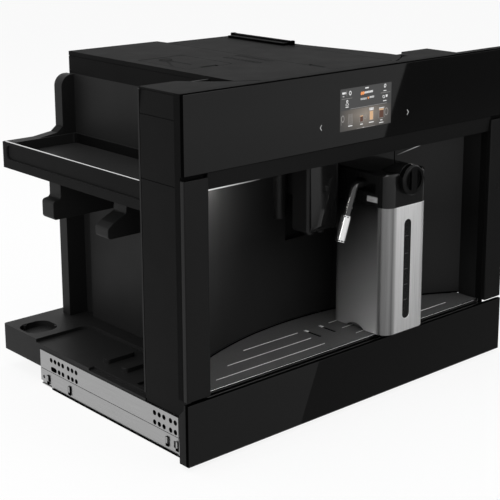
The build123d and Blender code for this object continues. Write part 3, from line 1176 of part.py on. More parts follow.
# ---------------------------------------------------------------- drip tray drawer
def tray_plan(inset=0.0):
    """Plan of the tray: straight in front, curved behind to follow the cavity wall."""
    disc = Pos(CAVITY_X, ARC_Y) * Circle(CAVITY_RADIUS + TRAY_TUCK - inset)
    return disc & plan_box(-TRAY_HALF_WIDTH + inset, TRAY_HALF_WIDTH - inset, TRAY_FRONT + inset,
                           CAVITY_DEPTH + TRAY_TUCK)


def drip_tray():
    """Tray that catches spilt coffee, drawn out with the lower front."""
    edge = GRID_TOP - GRID_SHEET
    hinge_room = plan_box(-TRAY_HALF_WIDTH - 1, HINGE_X + 14, HINGE_Y - 14, CAVITY_DEPTH)
    tray = upright(tray_plan() - hinge_room, TRAY_BOTTOM, edge)
    tray -= upright(tray_plan(TRAY_WALL) - offset(hinge_room, TRAY_WALL, kind=Kind.INTERSECTION),
                    TRAY_BOTTOM + TRAY_WALL, edge + 1)
    return tray


def grid_slot(x0, x1, y):
    """A drain slot along X."""
    return Pos((x0 + x1) / 2, y) * SlotOverall(x1 - x0, SLOT_WIDTH)


def cup_grid():
    """Cup stand over the tray, with three rows of drain slots each side of the spout."""
    hinge_room = plan_box(-TRAY_HALF_WIDTH - 1, HINGE_X + 14, HINGE_Y - 14, CAVITY_DEPTH)
    plan = tray_plan(0.3) - hinge_room
    plan -= plan_box(-TRAY_HALF_WIDTH, TRAY_HALF_WIDTH, 0, TRAY_FRONT + 2.2)
    for row, inset in enumerate(SLOT_INSETS):
        y = SLOT_FIRST_Y + row * SLOT_PITCH
        reach = OPENING - inset
        plan -= grid_slot(CAVITY_X - reach + 1, CAVITY_X - 28, y)
        plan -= grid_slot(CAVITY_X + 30, CAVITY_X + reach, y)
    for x in (CAVITY_X - 15, CAVITY_X + 13):
        plan -= Pos(x, SLOT_FIRST_Y + 39) * Rot(0, 0, 90) * SlotOverall(34, 5)
    return upright(plan, GRID_TOP - GRID_SHEET, GRID_TOP)


def tray_edge():
    """Chromed strip along the front of the tray."""
    strip = block(-TRAY_HALF_WIDTH, TRAY_HALF_WIDTH, TRAY_FRONT - 0.8, TRAY_FRONT + 2.0,
                  GRID_TOP - GRID_SHEET, GRID_TOP)
    face = block(-TRAY_HALF_WIDTH, TRAY_HALF_WIDTH, TRAY_FRONT - 0.8, TRAY_FRONT, GRID_TOP - 6,
                 GRID_TOP - GRID_SHEET)
    return strip + face


def lower_glass():
    """Lower pane of the front."""
    pane = block(-HALF_FRONT, HALF_FRONT, 0, PANE, 0, LOWER_HEIGHT)
    edges = pane.edges().filter_by(Axis.X).group_by(Axis.Y)[0]
    return chamfer(edges, 0.6)


def lower_carrier():
    """Carrier of the lower pane, with the shelf that holds the drip tray."""
    back = FRONT_DEPTH - CLEAR
    top = LOWER_HEIGHT - 1
    profile = [(PANE, 0), (back, 0), (back, top - 17), (PANE + 3, top - 7), (PANE + 3, top),
               (PANE, top)]
    carrier = across(profile, -HALF_FRONT, HALF_FRONT)
    carrier -= block(-TRAY_HALF_WIDTH - 1, TRAY_HALF_WIDTH + 1, TRAY_FRONT - 0.8, FRONT_DEPTH + 1,
                     TRAY_BOTTOM, LOWER_HEIGHT)
    reach = TRAY_HALF_WIDTH - 18
    return carrier + block(-reach, reach, back - 1, 60, TRAY_BOTTOM - 2.5, TRAY_BOTTOM)


# ---------------------------------------------------------------- pieces, by node name
PIECES = {
    "runner_left": runner_left,
    "runner_right": lambda: mirrored(runner_left()),
    "slider_left": slider_left,
    "slider_right": lambda: mirrored(slider_left()),
    "rail_left": rail_left,
    "rail_right": lambda: mirrored(rail_left()),
    "base_plate": base_plate,
    "front_frame": front_frame,
    "control_glass": control_glass,
    "display_module": display_module,
    "control_board": control_board,
    "trim_left": trim_left,
    "trim_right": lambda: mirrored(trim_left()),
    "hood_fascia": hood_fascia,
    "pillar_left": lambda: pillar(PILLAR_DEPTH),
    "pillar_right": lambda: mirrored(pillar(RIGHT_PILLAR_DEPTH)),
    "cavity_liner": cavity_liner,
    "bulkhead": bulkhead,
    "top_plate": top_plate,
    "casing_left": casing_left,
    "casing_rear": casing_rear,
    "casing_right": casing_right,
    "top_cover": top_cover,
    "bean_hopper": bean_hopper,
    "bean_lid": bean_lid,
    "ground_flap": ground_flap,
    "grind_dial": grind_dial,
    "inner_frame": inner_frame,
    "grinder": grinder,
    "brew_unit": brew_unit,
    "grounds_container": grounds_container,
    "pump": pump,
    "boiler": boiler,
    "power_board": power_board,
    "power_inlet": power_inlet,
    "main_switch": main_switch,
    "shelf": shelf,
    "shelf_rod": shelf_rod,
    "cup_hooks": cup_hooks,
    "water_tank": water_tank,
    "tank_lid": tank_lid,
    "service_door": service_door,
    "spout_guide": spout_guide,
    "spout_shell": spout_shell,
    "spout_front": spout_front,
    "coffee_nozzles": coffee_nozzles,
    "jug_sleeve": jug_sleeve,
    "jug_vessel": jug_vessel,
    "jug_window": jug_window,
    "jug_lid": jug_lid,
    "intake_tube": intake_tube,
    "froth_knob": froth_knob,
    "milk_spout": milk_spout,
    "milk_tip": milk_tip,
    "lid_button": lid_button,
    "drip_tray": drip_tray,
    "cup_grid": cup_grid,
    "tray_edge": tray_edge,
    "lower_glass": lower_glass,
    "lower_carrier": lower_carrier,
}


def write_part(name, shape):
    """Moves a piece to the part's frame and writes it."""
    middle_y = (KNOB_FRONT + BODY_REAR) / 2
    placed = Pos(0, -middle_y, -RAIL_BOTTOM) * shape
    export_step(placed, os.path.join("parts", name + ".step"))


def main():
    os.makedirs("parts", exist_ok=True)
    for name, make in PIECES.items():
        write_part(name, make())


main()
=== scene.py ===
# %% [markdown]
# # A built-in coffee machine
#
# The machine's solids were drawn in CAD and packed with their joints. This lesson dresses them
# in Blender: it rounds the moulded edges, adds the small pieces that a CAD model leaves out,
# gives every surface a procedural material, and lights the whole thing in a plain white studio.
# The frame comes in first. It is never moved, because each piece has to ride on one of its bodies.

import json
import math

import bpy
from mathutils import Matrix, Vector


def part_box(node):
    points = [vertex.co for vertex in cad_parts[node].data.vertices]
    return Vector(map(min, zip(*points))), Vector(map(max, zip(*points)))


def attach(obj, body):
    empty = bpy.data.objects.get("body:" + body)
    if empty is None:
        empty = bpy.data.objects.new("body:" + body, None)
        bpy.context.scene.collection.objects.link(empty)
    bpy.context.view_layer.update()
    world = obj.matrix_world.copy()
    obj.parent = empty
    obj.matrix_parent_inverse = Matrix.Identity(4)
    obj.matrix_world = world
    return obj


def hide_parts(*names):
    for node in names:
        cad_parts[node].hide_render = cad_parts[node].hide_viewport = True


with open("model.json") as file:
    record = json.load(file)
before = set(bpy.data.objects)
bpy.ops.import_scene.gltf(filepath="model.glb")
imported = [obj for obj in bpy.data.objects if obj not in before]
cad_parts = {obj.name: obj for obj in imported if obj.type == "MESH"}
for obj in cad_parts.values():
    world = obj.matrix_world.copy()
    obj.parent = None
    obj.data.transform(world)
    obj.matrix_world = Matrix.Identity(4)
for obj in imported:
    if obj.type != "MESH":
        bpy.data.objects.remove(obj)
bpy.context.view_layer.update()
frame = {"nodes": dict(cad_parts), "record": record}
NODES = frame["nodes"]

# %% [markdown]
# The front of such a machine is one flat plane, so sizes are easiest to write in millimetres from
# it: x to the right of the centreline, y back from the face of the glass, z up from the lower edge
# of the front. One helper turns those into Blender's metres. It reads its zero from the two panes.

# %% Millimetres on the front
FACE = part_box("control_glass")[0][1]
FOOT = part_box("lower_glass")[0][2]
MM = 0.001


def at(x, y, z):
    """A point in metres, from millimetres measured at the front."""
    return Vector((x * MM, FACE + y * MM, FOOT + z * MM))


def edge(node, side):
    """One side of a node's box in those millimetres: x0, x1, y0, y1, z0 or z1."""
    axis = "xyz".index(side[0])
    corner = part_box(node)[int(side[1])]
    zero = (0.0, FACE, FOOT)[axis]
    return (corner[axis] - zero) / MM


print("front", [edge("control_glass", side) for side in ("x0", "x1", "z1")])

# %% [markdown]
# ## The studio
#
# A cut-out photograph on white needs a background of strength 1 that doesn't flood the object.
# The Light Path node answers what kind of ray is asking: camera, glossy and transmission rays see
# pure white, and all other rays see a calmer level, which lights the object as its colours are
# written.

# %% Socket maths
class Term:
    """A socket of a shader tree that can be used in ordinary arithmetic."""

    def __init__(self, recipe, socket):
        self.recipe = recipe
        self.socket = socket

    def _with(self, operation, *terms):
        return self.recipe.node("ShaderNodeMath", {"operation": operation}, dict(enumerate(terms)))

    def __add__(self, other):
        return self._with("ADD", self, other)

    def __radd__(self, other):
        return self._with("ADD", other, self)

    def __sub__(self, other):
        return self._with("SUBTRACT", self, other)

    def __rsub__(self, other):
        return self._with("SUBTRACT", other, self)

    def __mul__(self, other):
        return self._with("MULTIPLY", self, other)

    def __rmul__(self, other):
        return self._with("MULTIPLY", other, self)

    def __truediv__(self, other):
        return self._with("DIVIDE", self, other)

    def __rtruediv__(self, other):
        return self._with("DIVIDE", other, self)

    def __pow__(self, other):
        return self._with("POWER", self, other)

    def __abs__(self):
        return self._with("ABSOLUTE", self)

    def __gt__(self, other):
        return self._with("GREATER_THAN", self, other)

    def either(self, other):
        return self._with("MAXIMUM", self, other)

    def rise(self, start, end):
        """0 at start, 1 at end, and level beyond them. The end may be the lower of the two."""
        share = (self - start) / (end - start)
        return self._with("MINIMUM", share, 1.0).either(0.0)


class Recipe:
    """A shader tree, with one method that adds any node, sets it up and feeds its sockets."""

    def __init__(self, owner):
        self.tree = owner.node_tree
        self.tree.nodes.clear()

    def node(self, kind, settings=None, inputs=None, out=0):
        made = self.tree.nodes.new(kind)
        for key, value in (settings or {}).items():
            if key == "stops":
                self._stops(made.color_ramp, value)
            else:
                setattr(made, key, value)
        for key, value in (inputs or {}).items():
            self._feed(made.inputs[key], value)
        return Term(self, made.outputs[out]) if len(made.outputs) else made

    def _feed(self, socket, value):
        if isinstance(value, Term):
            self.tree.links.new(value.socket, socket)
        elif isinstance(value, (tuple, list)) and len(value) < len(socket.default_value):
            socket.default_value = (*value, 1.0)
        else:
            socket.default_value = value

    def _stops(self, ramp, stops):
        while len(ramp.elements) < len(stops):
            ramp.elements.new(0.5)
        for element, (position, level) in zip(ramp.elements, stops):
            element.position = position
            element.color = (level, level, level, 1.0)

    def mixed(self, factor, first, second, blend="MIX"):
        """A colour between two colours. A Mix node takes its factor at input 0 and its colours at
        inputs 6 and 7, and gives the result at output 2."""
        settings = {"data_type": "RGBA", "blend_type": blend}
        return self.node("ShaderNodeMix", settings, {0: factor, 6: first, 7: second}, 2)

    def own_place(self):
        """The point being shaded, in the object's own metres."""
        return self.node("ShaderNodeTexCoord", out="Object")

    def noise(self, scale, detail=2.0, stretch=(1.0, 1.0, 1.0)):
        """Noise on the object's own coordinates, from about 0 to 1."""
        spread = self.node("ShaderNodeMapping", {},
                           {"Vector": self.own_place(), "Scale": stretch})
        return self.node("ShaderNodeTexNoise", {},
                         {"Vector": spread, "Scale": scale, "Detail": detail})

    def place(self, axis):
        """One coordinate of the point being shaded, in metres."""
        return self.node("ShaderNodeSeparateXYZ", {}, {0: self.own_place()}, axis)


def shade(level):
    """The linear value of a grey written as 0 to 255."""
    c = level / 255.0
    return c / 12.92 if c <= 0.04045 else ((c + 0.055) / 1.055) ** 2.4


def grey(level, warmth=0.0):
    """A grey as a linear colour, a little warm or cool."""
    v = shade(level)
    return (v * (1 + warmth), v, v * (1 - warmth))


# %% World and floor
WORLD_LEVEL = 0.62
FLOOR_SIZE = 14.0
FLOOR_DROP = 0.0005
FLOOR_GLOW = 0.88
FLOOR_MATT = (0.9, 0.9, 0.9)


def seen_directly(recipe):
    """1 for rays that come from the camera, a mirror or clear glass, else 0."""
    camera, glossy, through = (recipe.node("ShaderNodeLightPath", out=f"Is {kind} Ray")
                               for kind in ("Camera", "Glossy", "Transmission"))
    return camera.either(glossy).either(through)


def white_world():
    """White to look at, calmer as a light."""
    world = bpy.data.worlds.new("studio")
    world.use_nodes = True
    bpy.context.scene.world = world
    recipe = Recipe(world)
    direct = seen_directly(recipe)
    strength = direct * (1.0 - WORLD_LEVEL) + WORLD_LEVEL
    light = recipe.node("ShaderNodeBackground", {}, {"Color": (1, 1, 1), "Strength": strength})
    recipe.node("ShaderNodeOutputWorld", {}, {"Surface": light})


def floor_material():
    """Mostly white emission to the eye, with enough diffuse left to show the shadow."""
    material = bpy.data.materials.new("floor_white")
    material.use_nodes = True
    recipe = Recipe(material)
    matt = recipe.node("ShaderNodeBsdfDiffuse", {}, {"Color": FLOOR_MATT})
    glow = recipe.node("ShaderNodeEmission", {}, {"Color": (1, 1, 1), "Strength": 1.0})
    share = seen_directly(recipe) * FLOOR_GLOW
    mix = recipe.node("ShaderNodeMixShader", {}, {0: share, 1: matt, 2: glow})
    recipe.node("ShaderNodeOutputMaterial", {}, {"Surface": mix})
    return material


def clear_selection():
    """Nothing selected, nothing in edit mode."""
    if bpy.context.object and bpy.context.object.mode != "OBJECT":
        bpy.ops.object.mode_set(mode="OBJECT")
    bpy.ops.object.select_all(action="DESELECT")


def pick(*pieces):
    """Selects these pieces and nothing else, the first of them active."""
    clear_selection()
    for piece in pieces:
        piece.select_set(True)
    bpy.context.view_layer.objects.active = pieces[0]


def named(name):
    """Names the object that an operator has just made."""
    piece = bpy.context.object
    piece.name = name
    piece.data.name = name
    return piece


white_world()
clear_selection()
bpy.ops.mesh.primitive_plane_add(size=FLOOR_SIZE, location=(0, 0, -FLOOR_DROP))
bpy.ops.object.transform_apply(location=True, rotation=True, scale=True)
floor = named("floor")
floor.data.materials.append(floor_material())
print("floor at", round(floor.bound_box[0][2], 4))

# %% [markdown]
# ## Lamps and camera
#
# Three big soft lamps are enough for dark plastic: a broad one above, one from the left for the
# bay's side, and a low one from the front right for the steel jug. The camera's place, lens and
# turn come from lining up the straight edges of the front and the side with the photograph.

# %% Lamps
def lamp(name, where, target, size, watts):
    """A square soft lamp aimed at a point."""
    clear_selection()
    bpy.ops.object.light_add(type="AREA", location=where)
    light = named(name)
    light.data.size = size
    light.data.energy = watts
    aim = Vector(target) - Vector(where)
    light.rotation_euler = aim.to_track_quat("-Z", "Y").to_euler()


lamp("lamp_top", (-0.3, 0.4, 2.4), (0, 0, 0.3), size=2.2, watts=26)
lamp("lamp_left", (-2.3, -0.2, 1.3), (0, 0, 0.25), size=1.6, watts=14)
lamp("lamp_front", (0.9, -2.4, 1.2), (0, 0, 0.25), size=1.4, watts=12)

# %% [markdown]
# Black glass shows nothing but what it mirrors. A photographer lays a painted card before the
# object, out of view, so that part of the pane goes truly dark, with a slanted edge where the dark
# half begins. Here only mirrors see the card, so it takes no light away from the object. Its two
# halves are one plane: a line divides it, and each half fades between a near and a far brightness.
# The card's middle and the start of its line are in panel millimetres, its size and its fade in
# metres.

# %% Painted card
CARD_MIDDLE = (0.0, -3500.0, -4.6)
CARD_SIZE = (13.6, 6.98, 1.0)
CARD_START = (-100.0, -12.0)
CARD_SLOPE = -0.824
CARD_FADE = 1.6
CARD_LIGHT = (0.50, 0.94)
CARD_DARK = (0.24, 0.10)


def card_paint(recipe):
    """Brightness of the card: light left of the dividing line, dark right of it."""
    x, y = recipe.place("X"), recipe.place("Y")
    start = at(*CARD_START, 0)
    far = y.rise(start.y, start.y - CARD_FADE)
    light, dark = (far * (last - first) + first for first, last in (CARD_LIGHT, CARD_DARK))
    line = start.y + (x - start.x) * CARD_SLOPE
    return (y > line) * (dark - light) + light


def painted_card(name):
    """A flat card that lies just under the object and that only mirrors can see."""
    clear_selection()
    bpy.ops.mesh.primitive_plane_add(size=1.0, location=at(*CARD_MIDDLE))
    sheet = named(name)
    sheet.scale = CARD_SIZE
    bpy.ops.object.transform_apply(location=True, rotation=True, scale=True)
    material = bpy.data.materials.new(name)
    material.use_nodes = True
    recipe = Recipe(material)
    paint = {"Color": (1, 1, 1), "Strength": card_paint(recipe)}
    glow = recipe.node("ShaderNodeEmission", {}, paint)
    recipe.node("ShaderNodeOutputMaterial", {}, {"Surface": glow})
    sheet.data.materials.append(material)
    sheet.visible_camera = False
    sheet.visible_diffuse = False
    sheet.visible_shadow = False
    sheet.visible_transmission = False
    return sheet


card = painted_card("card_front")
print("card", [[round(v, 2) for v in card.bound_box[n]] for n in (0, 6)])

# %% [markdown]
# The camera stands at a place in panel millimetres. It looks down by its dip and to the right by
# its turn, both in degrees, and its picture is shifted, because the photograph is a cut-out.

# %% Camera
CAMERA_PLACE = (-1169.46, -1108.72, 698.23)
CAMERA_DIP = 13.402
CAMERA_TURN = 42.164
CAMERA_LENS = 91.668
CAMERA_SENSOR = 36.0
CAMERA_SHIFT = (-0.0406, -0.15)

bpy.ops.object.camera_add(location=at(*CAMERA_PLACE))
camera = named("camera")
camera.rotation_euler = (math.radians(90 - CAMERA_DIP), 0.0, math.radians(-CAMERA_TURN))
camera.data.lens = CAMERA_LENS
camera.data.sensor_width = CAMERA_SENSOR
camera.data.shift_x, camera.data.shift_y = CAMERA_SHIFT
camera.data.clip_start = 0.01
bpy.context.scene.camera = camera
bpy.context.scene.view_settings.view_transform = "Standard"
print("camera", tuple(round(v, 3) for v in camera.location))

# %% [markdown]
# ## Finishes
#
# Nearly all of the machine is black, but not one black: the mouldings have a fine spark-eroded
# grain, the frame is powder coated, the panes are glass, the trims are smooth. Each finish below
# has its own grain size, gloss and slight unevenness, made with noise in the object's own metres.

# %% A finish from a recipe
def finish(name, colour, rough, **others):
    """A material with a Principled shader. The other values go by the names of the shader's
    inputs, with _ for a blank. A value may be a function of the recipe, which varies it."""
    material = bpy.data.materials.new(name)
    material.use_nodes = True
    recipe = Recipe(material)
    values = {"Base_Color": colour, "Roughness": rough, **others}
    inputs = {key.replace("_", " "): value(recipe) if callable(value) else value
              for key, value in values.items()}
    shader = recipe.node("ShaderNodeBsdfPrincipled", {}, inputs)
    recipe.node("ShaderNodeOutputMaterial", {}, {"Surface": shader})
    return material


def relief(distance, strength, scale, detail=1.0, stretch=(1.0, 1.0, 1.0)):
    """Fine bumps for the Normal of a finish, from noise of one scale."""
    def normal(recipe):
        height = recipe.noise(scale, detail, stretch)
        inputs = {"Height": height, "Distance": distance, "Strength": strength}
        return recipe.node("ShaderNodeBump", {}, inputs)

    return normal


def uneven(least, swing, scale, detail=2.0, stretch=(1.0, 1.0, 1.0)):
    """Roughness that wanders between its least value and a swing above it."""
    def roughness(recipe):
        return recipe.noise(scale, detail, stretch) * swing + least

    return roughness


# %% Plastics
MOULD_SWING = 0.12
MOULD_DEPTH = 0.00004
MOULD_BUMP = 0.6
PATCH_SCALE, PATCH_DETAIL = 9.0, 3.0


def moulded(name, level, rough=0.5, gloss=0.2, grain=1400.0, depth=MOULD_DEPTH, warmth=0.0):
    """Injection moulded plastic with an eroded grain and slightly uneven colour."""
    def colour(recipe):
        patches = recipe.noise(PATCH_SCALE, PATCH_DETAIL)
        return recipe.mixed(patches, grey(level * 0.88, warmth), grey(level * 1.1, warmth))

    return finish(name, colour, uneven(rough - MOULD_SWING / 2, MOULD_SWING, 30.0),
                  Specular_IOR_Level=gloss, Normal=relief(depth, MOULD_BUMP, grain))


# Painted light on the cavity wall: a lighter foot and top, and a streaky glow in its upper left
# corner.
WALL_MIDDLE, WALL_REACH = 0.215, 0.125
WALL_GRAIN = 900.0
PATCH_SHARE = 0.16
GLOW_ACROSS = (-0.085, -0.185)
GLOW_UP = (0.090, 0.280)
GLOW_STREAK_SCALE, GLOW_STREAK_STRETCH = 60.0, (1.0, 1.0, 0.02)


def wall_plastic(name, dark, light, glow, rough, gloss):
    """The cavity's moulding, with painted light. Its foot and its top are painted lighter, where
    the tray and the hood throw light on it, and its upper left corner most of all, in streaky
    painted reflections."""
    def colour(recipe):
        up = recipe.place("Z") - FOOT
        far = abs(up - WALL_MIDDLE).rise(0.0, WALL_REACH)
        patches = recipe.noise(PATCH_SCALE, PATCH_DETAIL) * PATCH_SHARE
        ground = recipe.mixed(far * 0.9 + patches, grey(dark), grey(light))
        corner = recipe.place("X").rise(*GLOW_ACROSS) ** 1.4 * up.rise(*GLOW_UP)
        glow_streaks = recipe.noise(GLOW_STREAK_SCALE, 2.0, GLOW_STREAK_STRETCH) * 0.5 + 0.7
        return recipe.mixed(corner * glow_streaks, ground, grey(glow))

    return finish(name, colour, uneven(rough - MOULD_SWING / 2, MOULD_SWING, 30.0),
                  Specular_IOR_Level=gloss, Normal=relief(MOULD_DEPTH, MOULD_BUMP, WALL_GRAIN))


def glazed(name, level, rough, gloss, coat=0.0):
    """Smooth glass or polished plastic over a dark ground, a little uneven in its gloss."""
    return finish(name, grey(level), uneven(rough, 0.02, 4.0), Specular_IOR_Level=gloss,
                  Coat_Weight=coat, Coat_Roughness=0.02)


def clear(name, level, alpha, rough=0.06):
    """Smoked or milky clear plastic: see-through by its alpha."""
    return finish(name, grey(level), uneven(rough, 0.05, 20.0), Specular_IOR_Level=0.4,
                  Alpha=alpha, Normal=relief(0.0002, 0.2, 12.0))


# %% Metals and lights
BRUSH_SWING = 0.12
BRUSH_STRETCH = 0.02
BRUSH_DEPTH, BRUSH_BUMP = 0.00002, 0.4


def brushed(name, level, rough=0.3, along="Z", depth=0.08, metal=1.0, fine=900.0, painted_light=None,
            gloss=0.5):
    """Metal brushed along one axis: noise drawn out along it. Without an axis it is speckled.
    painted_light may paint light and shade over the colour of the lines."""
    stretch = tuple(BRUSH_STRETCH if axis == along else 1.0 for axis in "XYZ")

    def colour(recipe):
        noise = recipe.noise(fine, 2.0, stretch)
        lines = recipe.mixed(noise, grey(level * (1 - depth)), grey(level * (1 + depth)))
        return painted_light(recipe, lines) if painted_light else lines

    rough_lines = uneven(rough - BRUSH_SWING / 2, BRUSH_SWING, fine * 0.7, 2.0, stretch)
    return finish(name, colour, rough_lines, Metallic=metal, Specular_IOR_Level=gloss,
                  Normal=relief(BRUSH_DEPTH, BRUSH_BUMP, fine, 2.0, stretch))


# Painted light on the jug's steel: reflection stripes round the front left corner, and a painted
# shade on the side, from SIDE_HEAD at the top to SIDE_FOOT at the foot.
CORNER_REACH = 0.020
CORNER_REFLECTION_BANDS = ((0.0, 0.28), (0.2, 0.32), (0.34, 0.24), (0.5, 0.22), (0.66, 0.27), (0.8, 0.16),
                (0.9, 0.5), (1.0, 1.0))
SIDE_FADE = (-0.012, -0.018)
SIDE_FOOT = (215, 140)
SIDE_HEAD = (20, 4)
SIDE_CURVE = 0.35


def sleeve_steel(name):
    """Brushed steel of the jug, with painted light and shade. Its side lies in the cavity's shade
    and is painted dark at the head, getting lighter towards the foot and the front; painted
    reflections in dark and light stripes follow each other round the corner."""
    low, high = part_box("jug_sleeve")

    def past_corner(recipe):
        """Metres past the front left corner: to the right of it, or, below 0, behind it."""
        return (recipe.place("X") - low.x) - (recipe.place("Y") - low.y)

    def metal(recipe):
        return 1.0 - past_corner(recipe).rise(*SIDE_FADE) * 0.95

    def painted_light(recipe, lines):
        corner = past_corner(recipe)
        reflection_bands = recipe.node("ShaderNodeValToRGB", {"stops": CORNER_REFLECTION_BANDS},
                            {"Fac": corner.rise(-CORNER_REACH, CORNER_REACH)})
        front = recipe.mixed(1.0, lines, reflection_bands, "MULTIPLY")
        up = recipe.place("Z").rise(low.z, high.z)
        back = recipe.place("Y").rise(low.y, high.y)
        foot, head = (recipe.mixed(back, *map(grey, pair)) for pair in (SIDE_FOOT, SIDE_HEAD))
        side = recipe.mixed(up ** SIDE_CURVE, foot, head)
        return recipe.mixed(corner.rise(*SIDE_FADE), front, side)

    return brushed(name, 250, 0.36, "Z", metal=metal, painted_light=painted_light, gloss=0.1)


def polished(name, level, rough=0.08):
    """Chrome, with a trace of handling in its roughness."""
    return finish(name, grey(level), uneven(rough, 0.06, 40.0, 3.0), Metallic=1.0,
                  Normal=relief(0.00003, 0.2, 60.0))


def lit(name, colour, strength, rough=0.3):
    """A surface that glows, under a glossy front."""
    def glow(recipe):
        return recipe.mixed(recipe.noise(90.0, 1.0), [c * 0.92 for c in colour], colour)

    return finish(name, (0.01, 0.01, 0.01), rough, Specular_IOR_Level=0.2,
                  Emission_Strength=strength, Emission_Color=glow)


# %% All finishes
LED_COLOUR = (1.0, 0.98, 0.95)
FINISH = {
    "body": moulded("body_plastic", 28, 0.5, 0.1),
    "roof": moulded("roof_plastic", 21, 0.6, 0.02),
    "pillar": moulded("pillar_plastic", 9, 0.5, 0.05),
    "shelf": moulded("shelf_plastic", 34, 0.5, 0.05),
    "shadow": moulded("shadow_black", 5, 0.8, 0.0),
    "knob": glazed("knob_black", 8, 0.12, 0.12, coat=0.1),
    "dark": moulded("dark_plastic", 26, 0.45, 0.12),
    "wall": wall_plastic("wall_plastic", 15, 32, 62, 0.38, 0.16),
    "frame": moulded("frame_paint", 13, 0.6, 0.02, grain=700.0),
    "paint": moulded("hood_paint", 15, 0.4, 0.08, grain=700.0),
    "satin": moulded("satin_black", 16, 0.3, 0.12, grain=2500.0, depth=0.00001),
    "gloss": glazed("gloss_black", 18, 0.08, 0.3),
    "glass": glazed("front_glass", 8, 0.015, 0.2),
    "jug_steel": sleeve_steel("jug_steel"),
    "tube": glazed("tube_black", 26, 0.1, 0.7),
    "grid_steel": brushed("grid_steel", 92, 0.45, "", depth=0.34, metal=0.35, fine=1500.0),
    "zinc": brushed("rail_zinc", 158, 0.32, "Y", depth=0.05),
    "chrome": polished("chrome", 220),
    # The slots' lips are near white: a painted highlight.
    "lip": brushed("lip_highlight", 245, 0.5, "X", metal=0.1),
    "tab": brushed("tab_steel", 150, 0.5, "Z", metal=0.5),
    "mark": moulded("mark_plastic", 12, 0.6, 0.02),
    "grey_button": moulded("button_grey", 170, 0.5, 0.3),
    "works": moulded("works_plastic", 80, 0.5, 0.3),
    "alloy": brushed("heater_alloy", 190, 0.5, "Z", depth=0.1),
    "board": moulded("board_green", 60, 0.4, 0.4, warmth=-0.2),
    "smoked": clear("smoked_window", 20, 0.55),
    "tank": clear("tank_clear", 96, 0.5),
    "led": lit("led_white", LED_COLOUR, 105.0),
    "led_low": lit("led_white_low", LED_COLOUR, 4.0),
}
WEARS = {
    "glass": ["control_glass", "lower_glass"],
    "frame": ["front_frame"],
    "paint": ["lower_carrier", "hood_fascia"],
    "satin": ["trim_left", "trim_right", "milk_spout", "display_module", "spout_guide"],
    "gloss": ["spout_front", "jug_lid"],
    "knob": ["froth_knob"],
    "dark": ["spout_shell", "coffee_nozzles", "drip_tray", "intake_tube"],
    "wall": ["cavity_liner", "service_door"],
    "pillar": ["pillar_left", "pillar_right"],
    "roof": ["top_cover", "bean_lid", "ground_flap", "top_plate"],
    "body": ["base_plate", "bulkhead", "casing_left", "casing_rear", "casing_right", "cup_hooks",
             "bean_hopper", "grind_dial", "power_inlet", "main_switch"],
    "shelf": ["shelf"],
    "works": ["inner_frame", "grinder", "brew_unit", "grounds_container", "pump", "jug_vessel"],
    "board": ["control_board", "power_board"],
    "alloy": ["boiler"],
    "grid_steel": ["cup_grid"],
    "jug_steel": ["jug_sleeve"],
    "chrome": ["tray_edge", "shelf_rod", "milk_tip"],
    "grey_button": ["lid_button"],
    "smoked": ["jug_window"],
    "tank": ["water_tank", "tank_lid"],
    "zinc": ["runner_left", "runner_right", "slider_left", "slider_right", "rail_left",
             "rail_right"],
}


def wear(piece, key):
    """Gives a piece one finish all over."""
    piece.data.materials.clear()
    piece.data.materials.append(FINISH[key])


FINISH_OF = {node: key for key, nodes in WEARS.items() for node in nodes}
for node, key in FINISH_OF.items():
    wear(NODES[node], key)
print("without a finish:", sorted(set(NODES) - set(FINISH_OF)))

# %% [markdown]
# ## Rounded edges
#
# A moulding or a folded sheet never has a knife edge, and the thin highlight on its rounding is
# what makes black plastic readable. The CAD node stays untouched: its mesh is copied, the loose
# triangles are merged, flat areas are dissolved into single faces, and a Bevel modifier rounds
# what is left of the sharp edges. The rounded copy then stands for the node.

# %% Softened copies
MERGE_WITHIN = 0.00001
FLAT_WITHIN = math.radians(0.5)


def ridden_by(node):
    """The CAD body that a node rides on."""
    for body, nodes in frame["record"]["behaviour"]["bodies"].items():
        if node in nodes:
            return body
    return None


def apply_all(piece):
    """Applies every modifier of a piece."""
    pick(piece)
    for modifier in list(piece.modifiers):
        bpy.ops.object.modifier_apply(modifier=modifier.name)


def smooth(piece, angle=35.0):
    """Smooth shading that still breaks at real edges."""
    pick(piece)
    bpy.ops.object.shade_smooth_by_angle(angle=math.radians(angle))


def merged_copy(node, name):
    """A copy of a CAD node's mesh, its triangles merged into clean faces."""
    piece = bpy.data.objects.new(name, NODES[node].data.copy())
    bpy.context.collection.objects.link(piece)
    pick(piece)
    bpy.ops.object.mode_set(mode="EDIT")
    bpy.ops.mesh.select_all(action="SELECT")
    bpy.ops.mesh.remove_doubles(threshold=MERGE_WITHIN)
    bpy.ops.mesh.dissolve_limited(angle_limit=FLAT_WITHIN)
    bpy.ops.object.mode_set(mode="OBJECT")
    piece.data.name = name
    return piece


def flatten_shading(piece):
    """Lets the large faces keep their own normals, so that only the roundings shade softly."""
    weigh = piece.modifiers.new("weights", "WEIGHTED_NORMAL")
    weigh.keep_sharp = True
    apply_all(piece)


def rounding(piece, width):
    """Rounds the edges that turn by more than 30 degrees."""
    bevel = piece.modifiers.new("rounding", "BEVEL")
    bevel.width = width * MM
    bevel.segments = 2
    bevel.limit_method = "ANGLE"
    bevel.angle_limit = math.radians(30)
    bevel.use_clamp_overlap = True
    bevel.miter_outer = "MITER_SHARP"
    apply_all(piece)


def soften(node, width):
    """A rounded copy of a CAD node that stands for it."""
    piece = merged_copy(node, node + "_soft")
    rounding(piece, width)
    smooth(piece)
    flatten_shading(piece)
    wear(piece, FINISH_OF[node])
    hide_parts(node)
    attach(piece, ridden_by(node))
    return piece


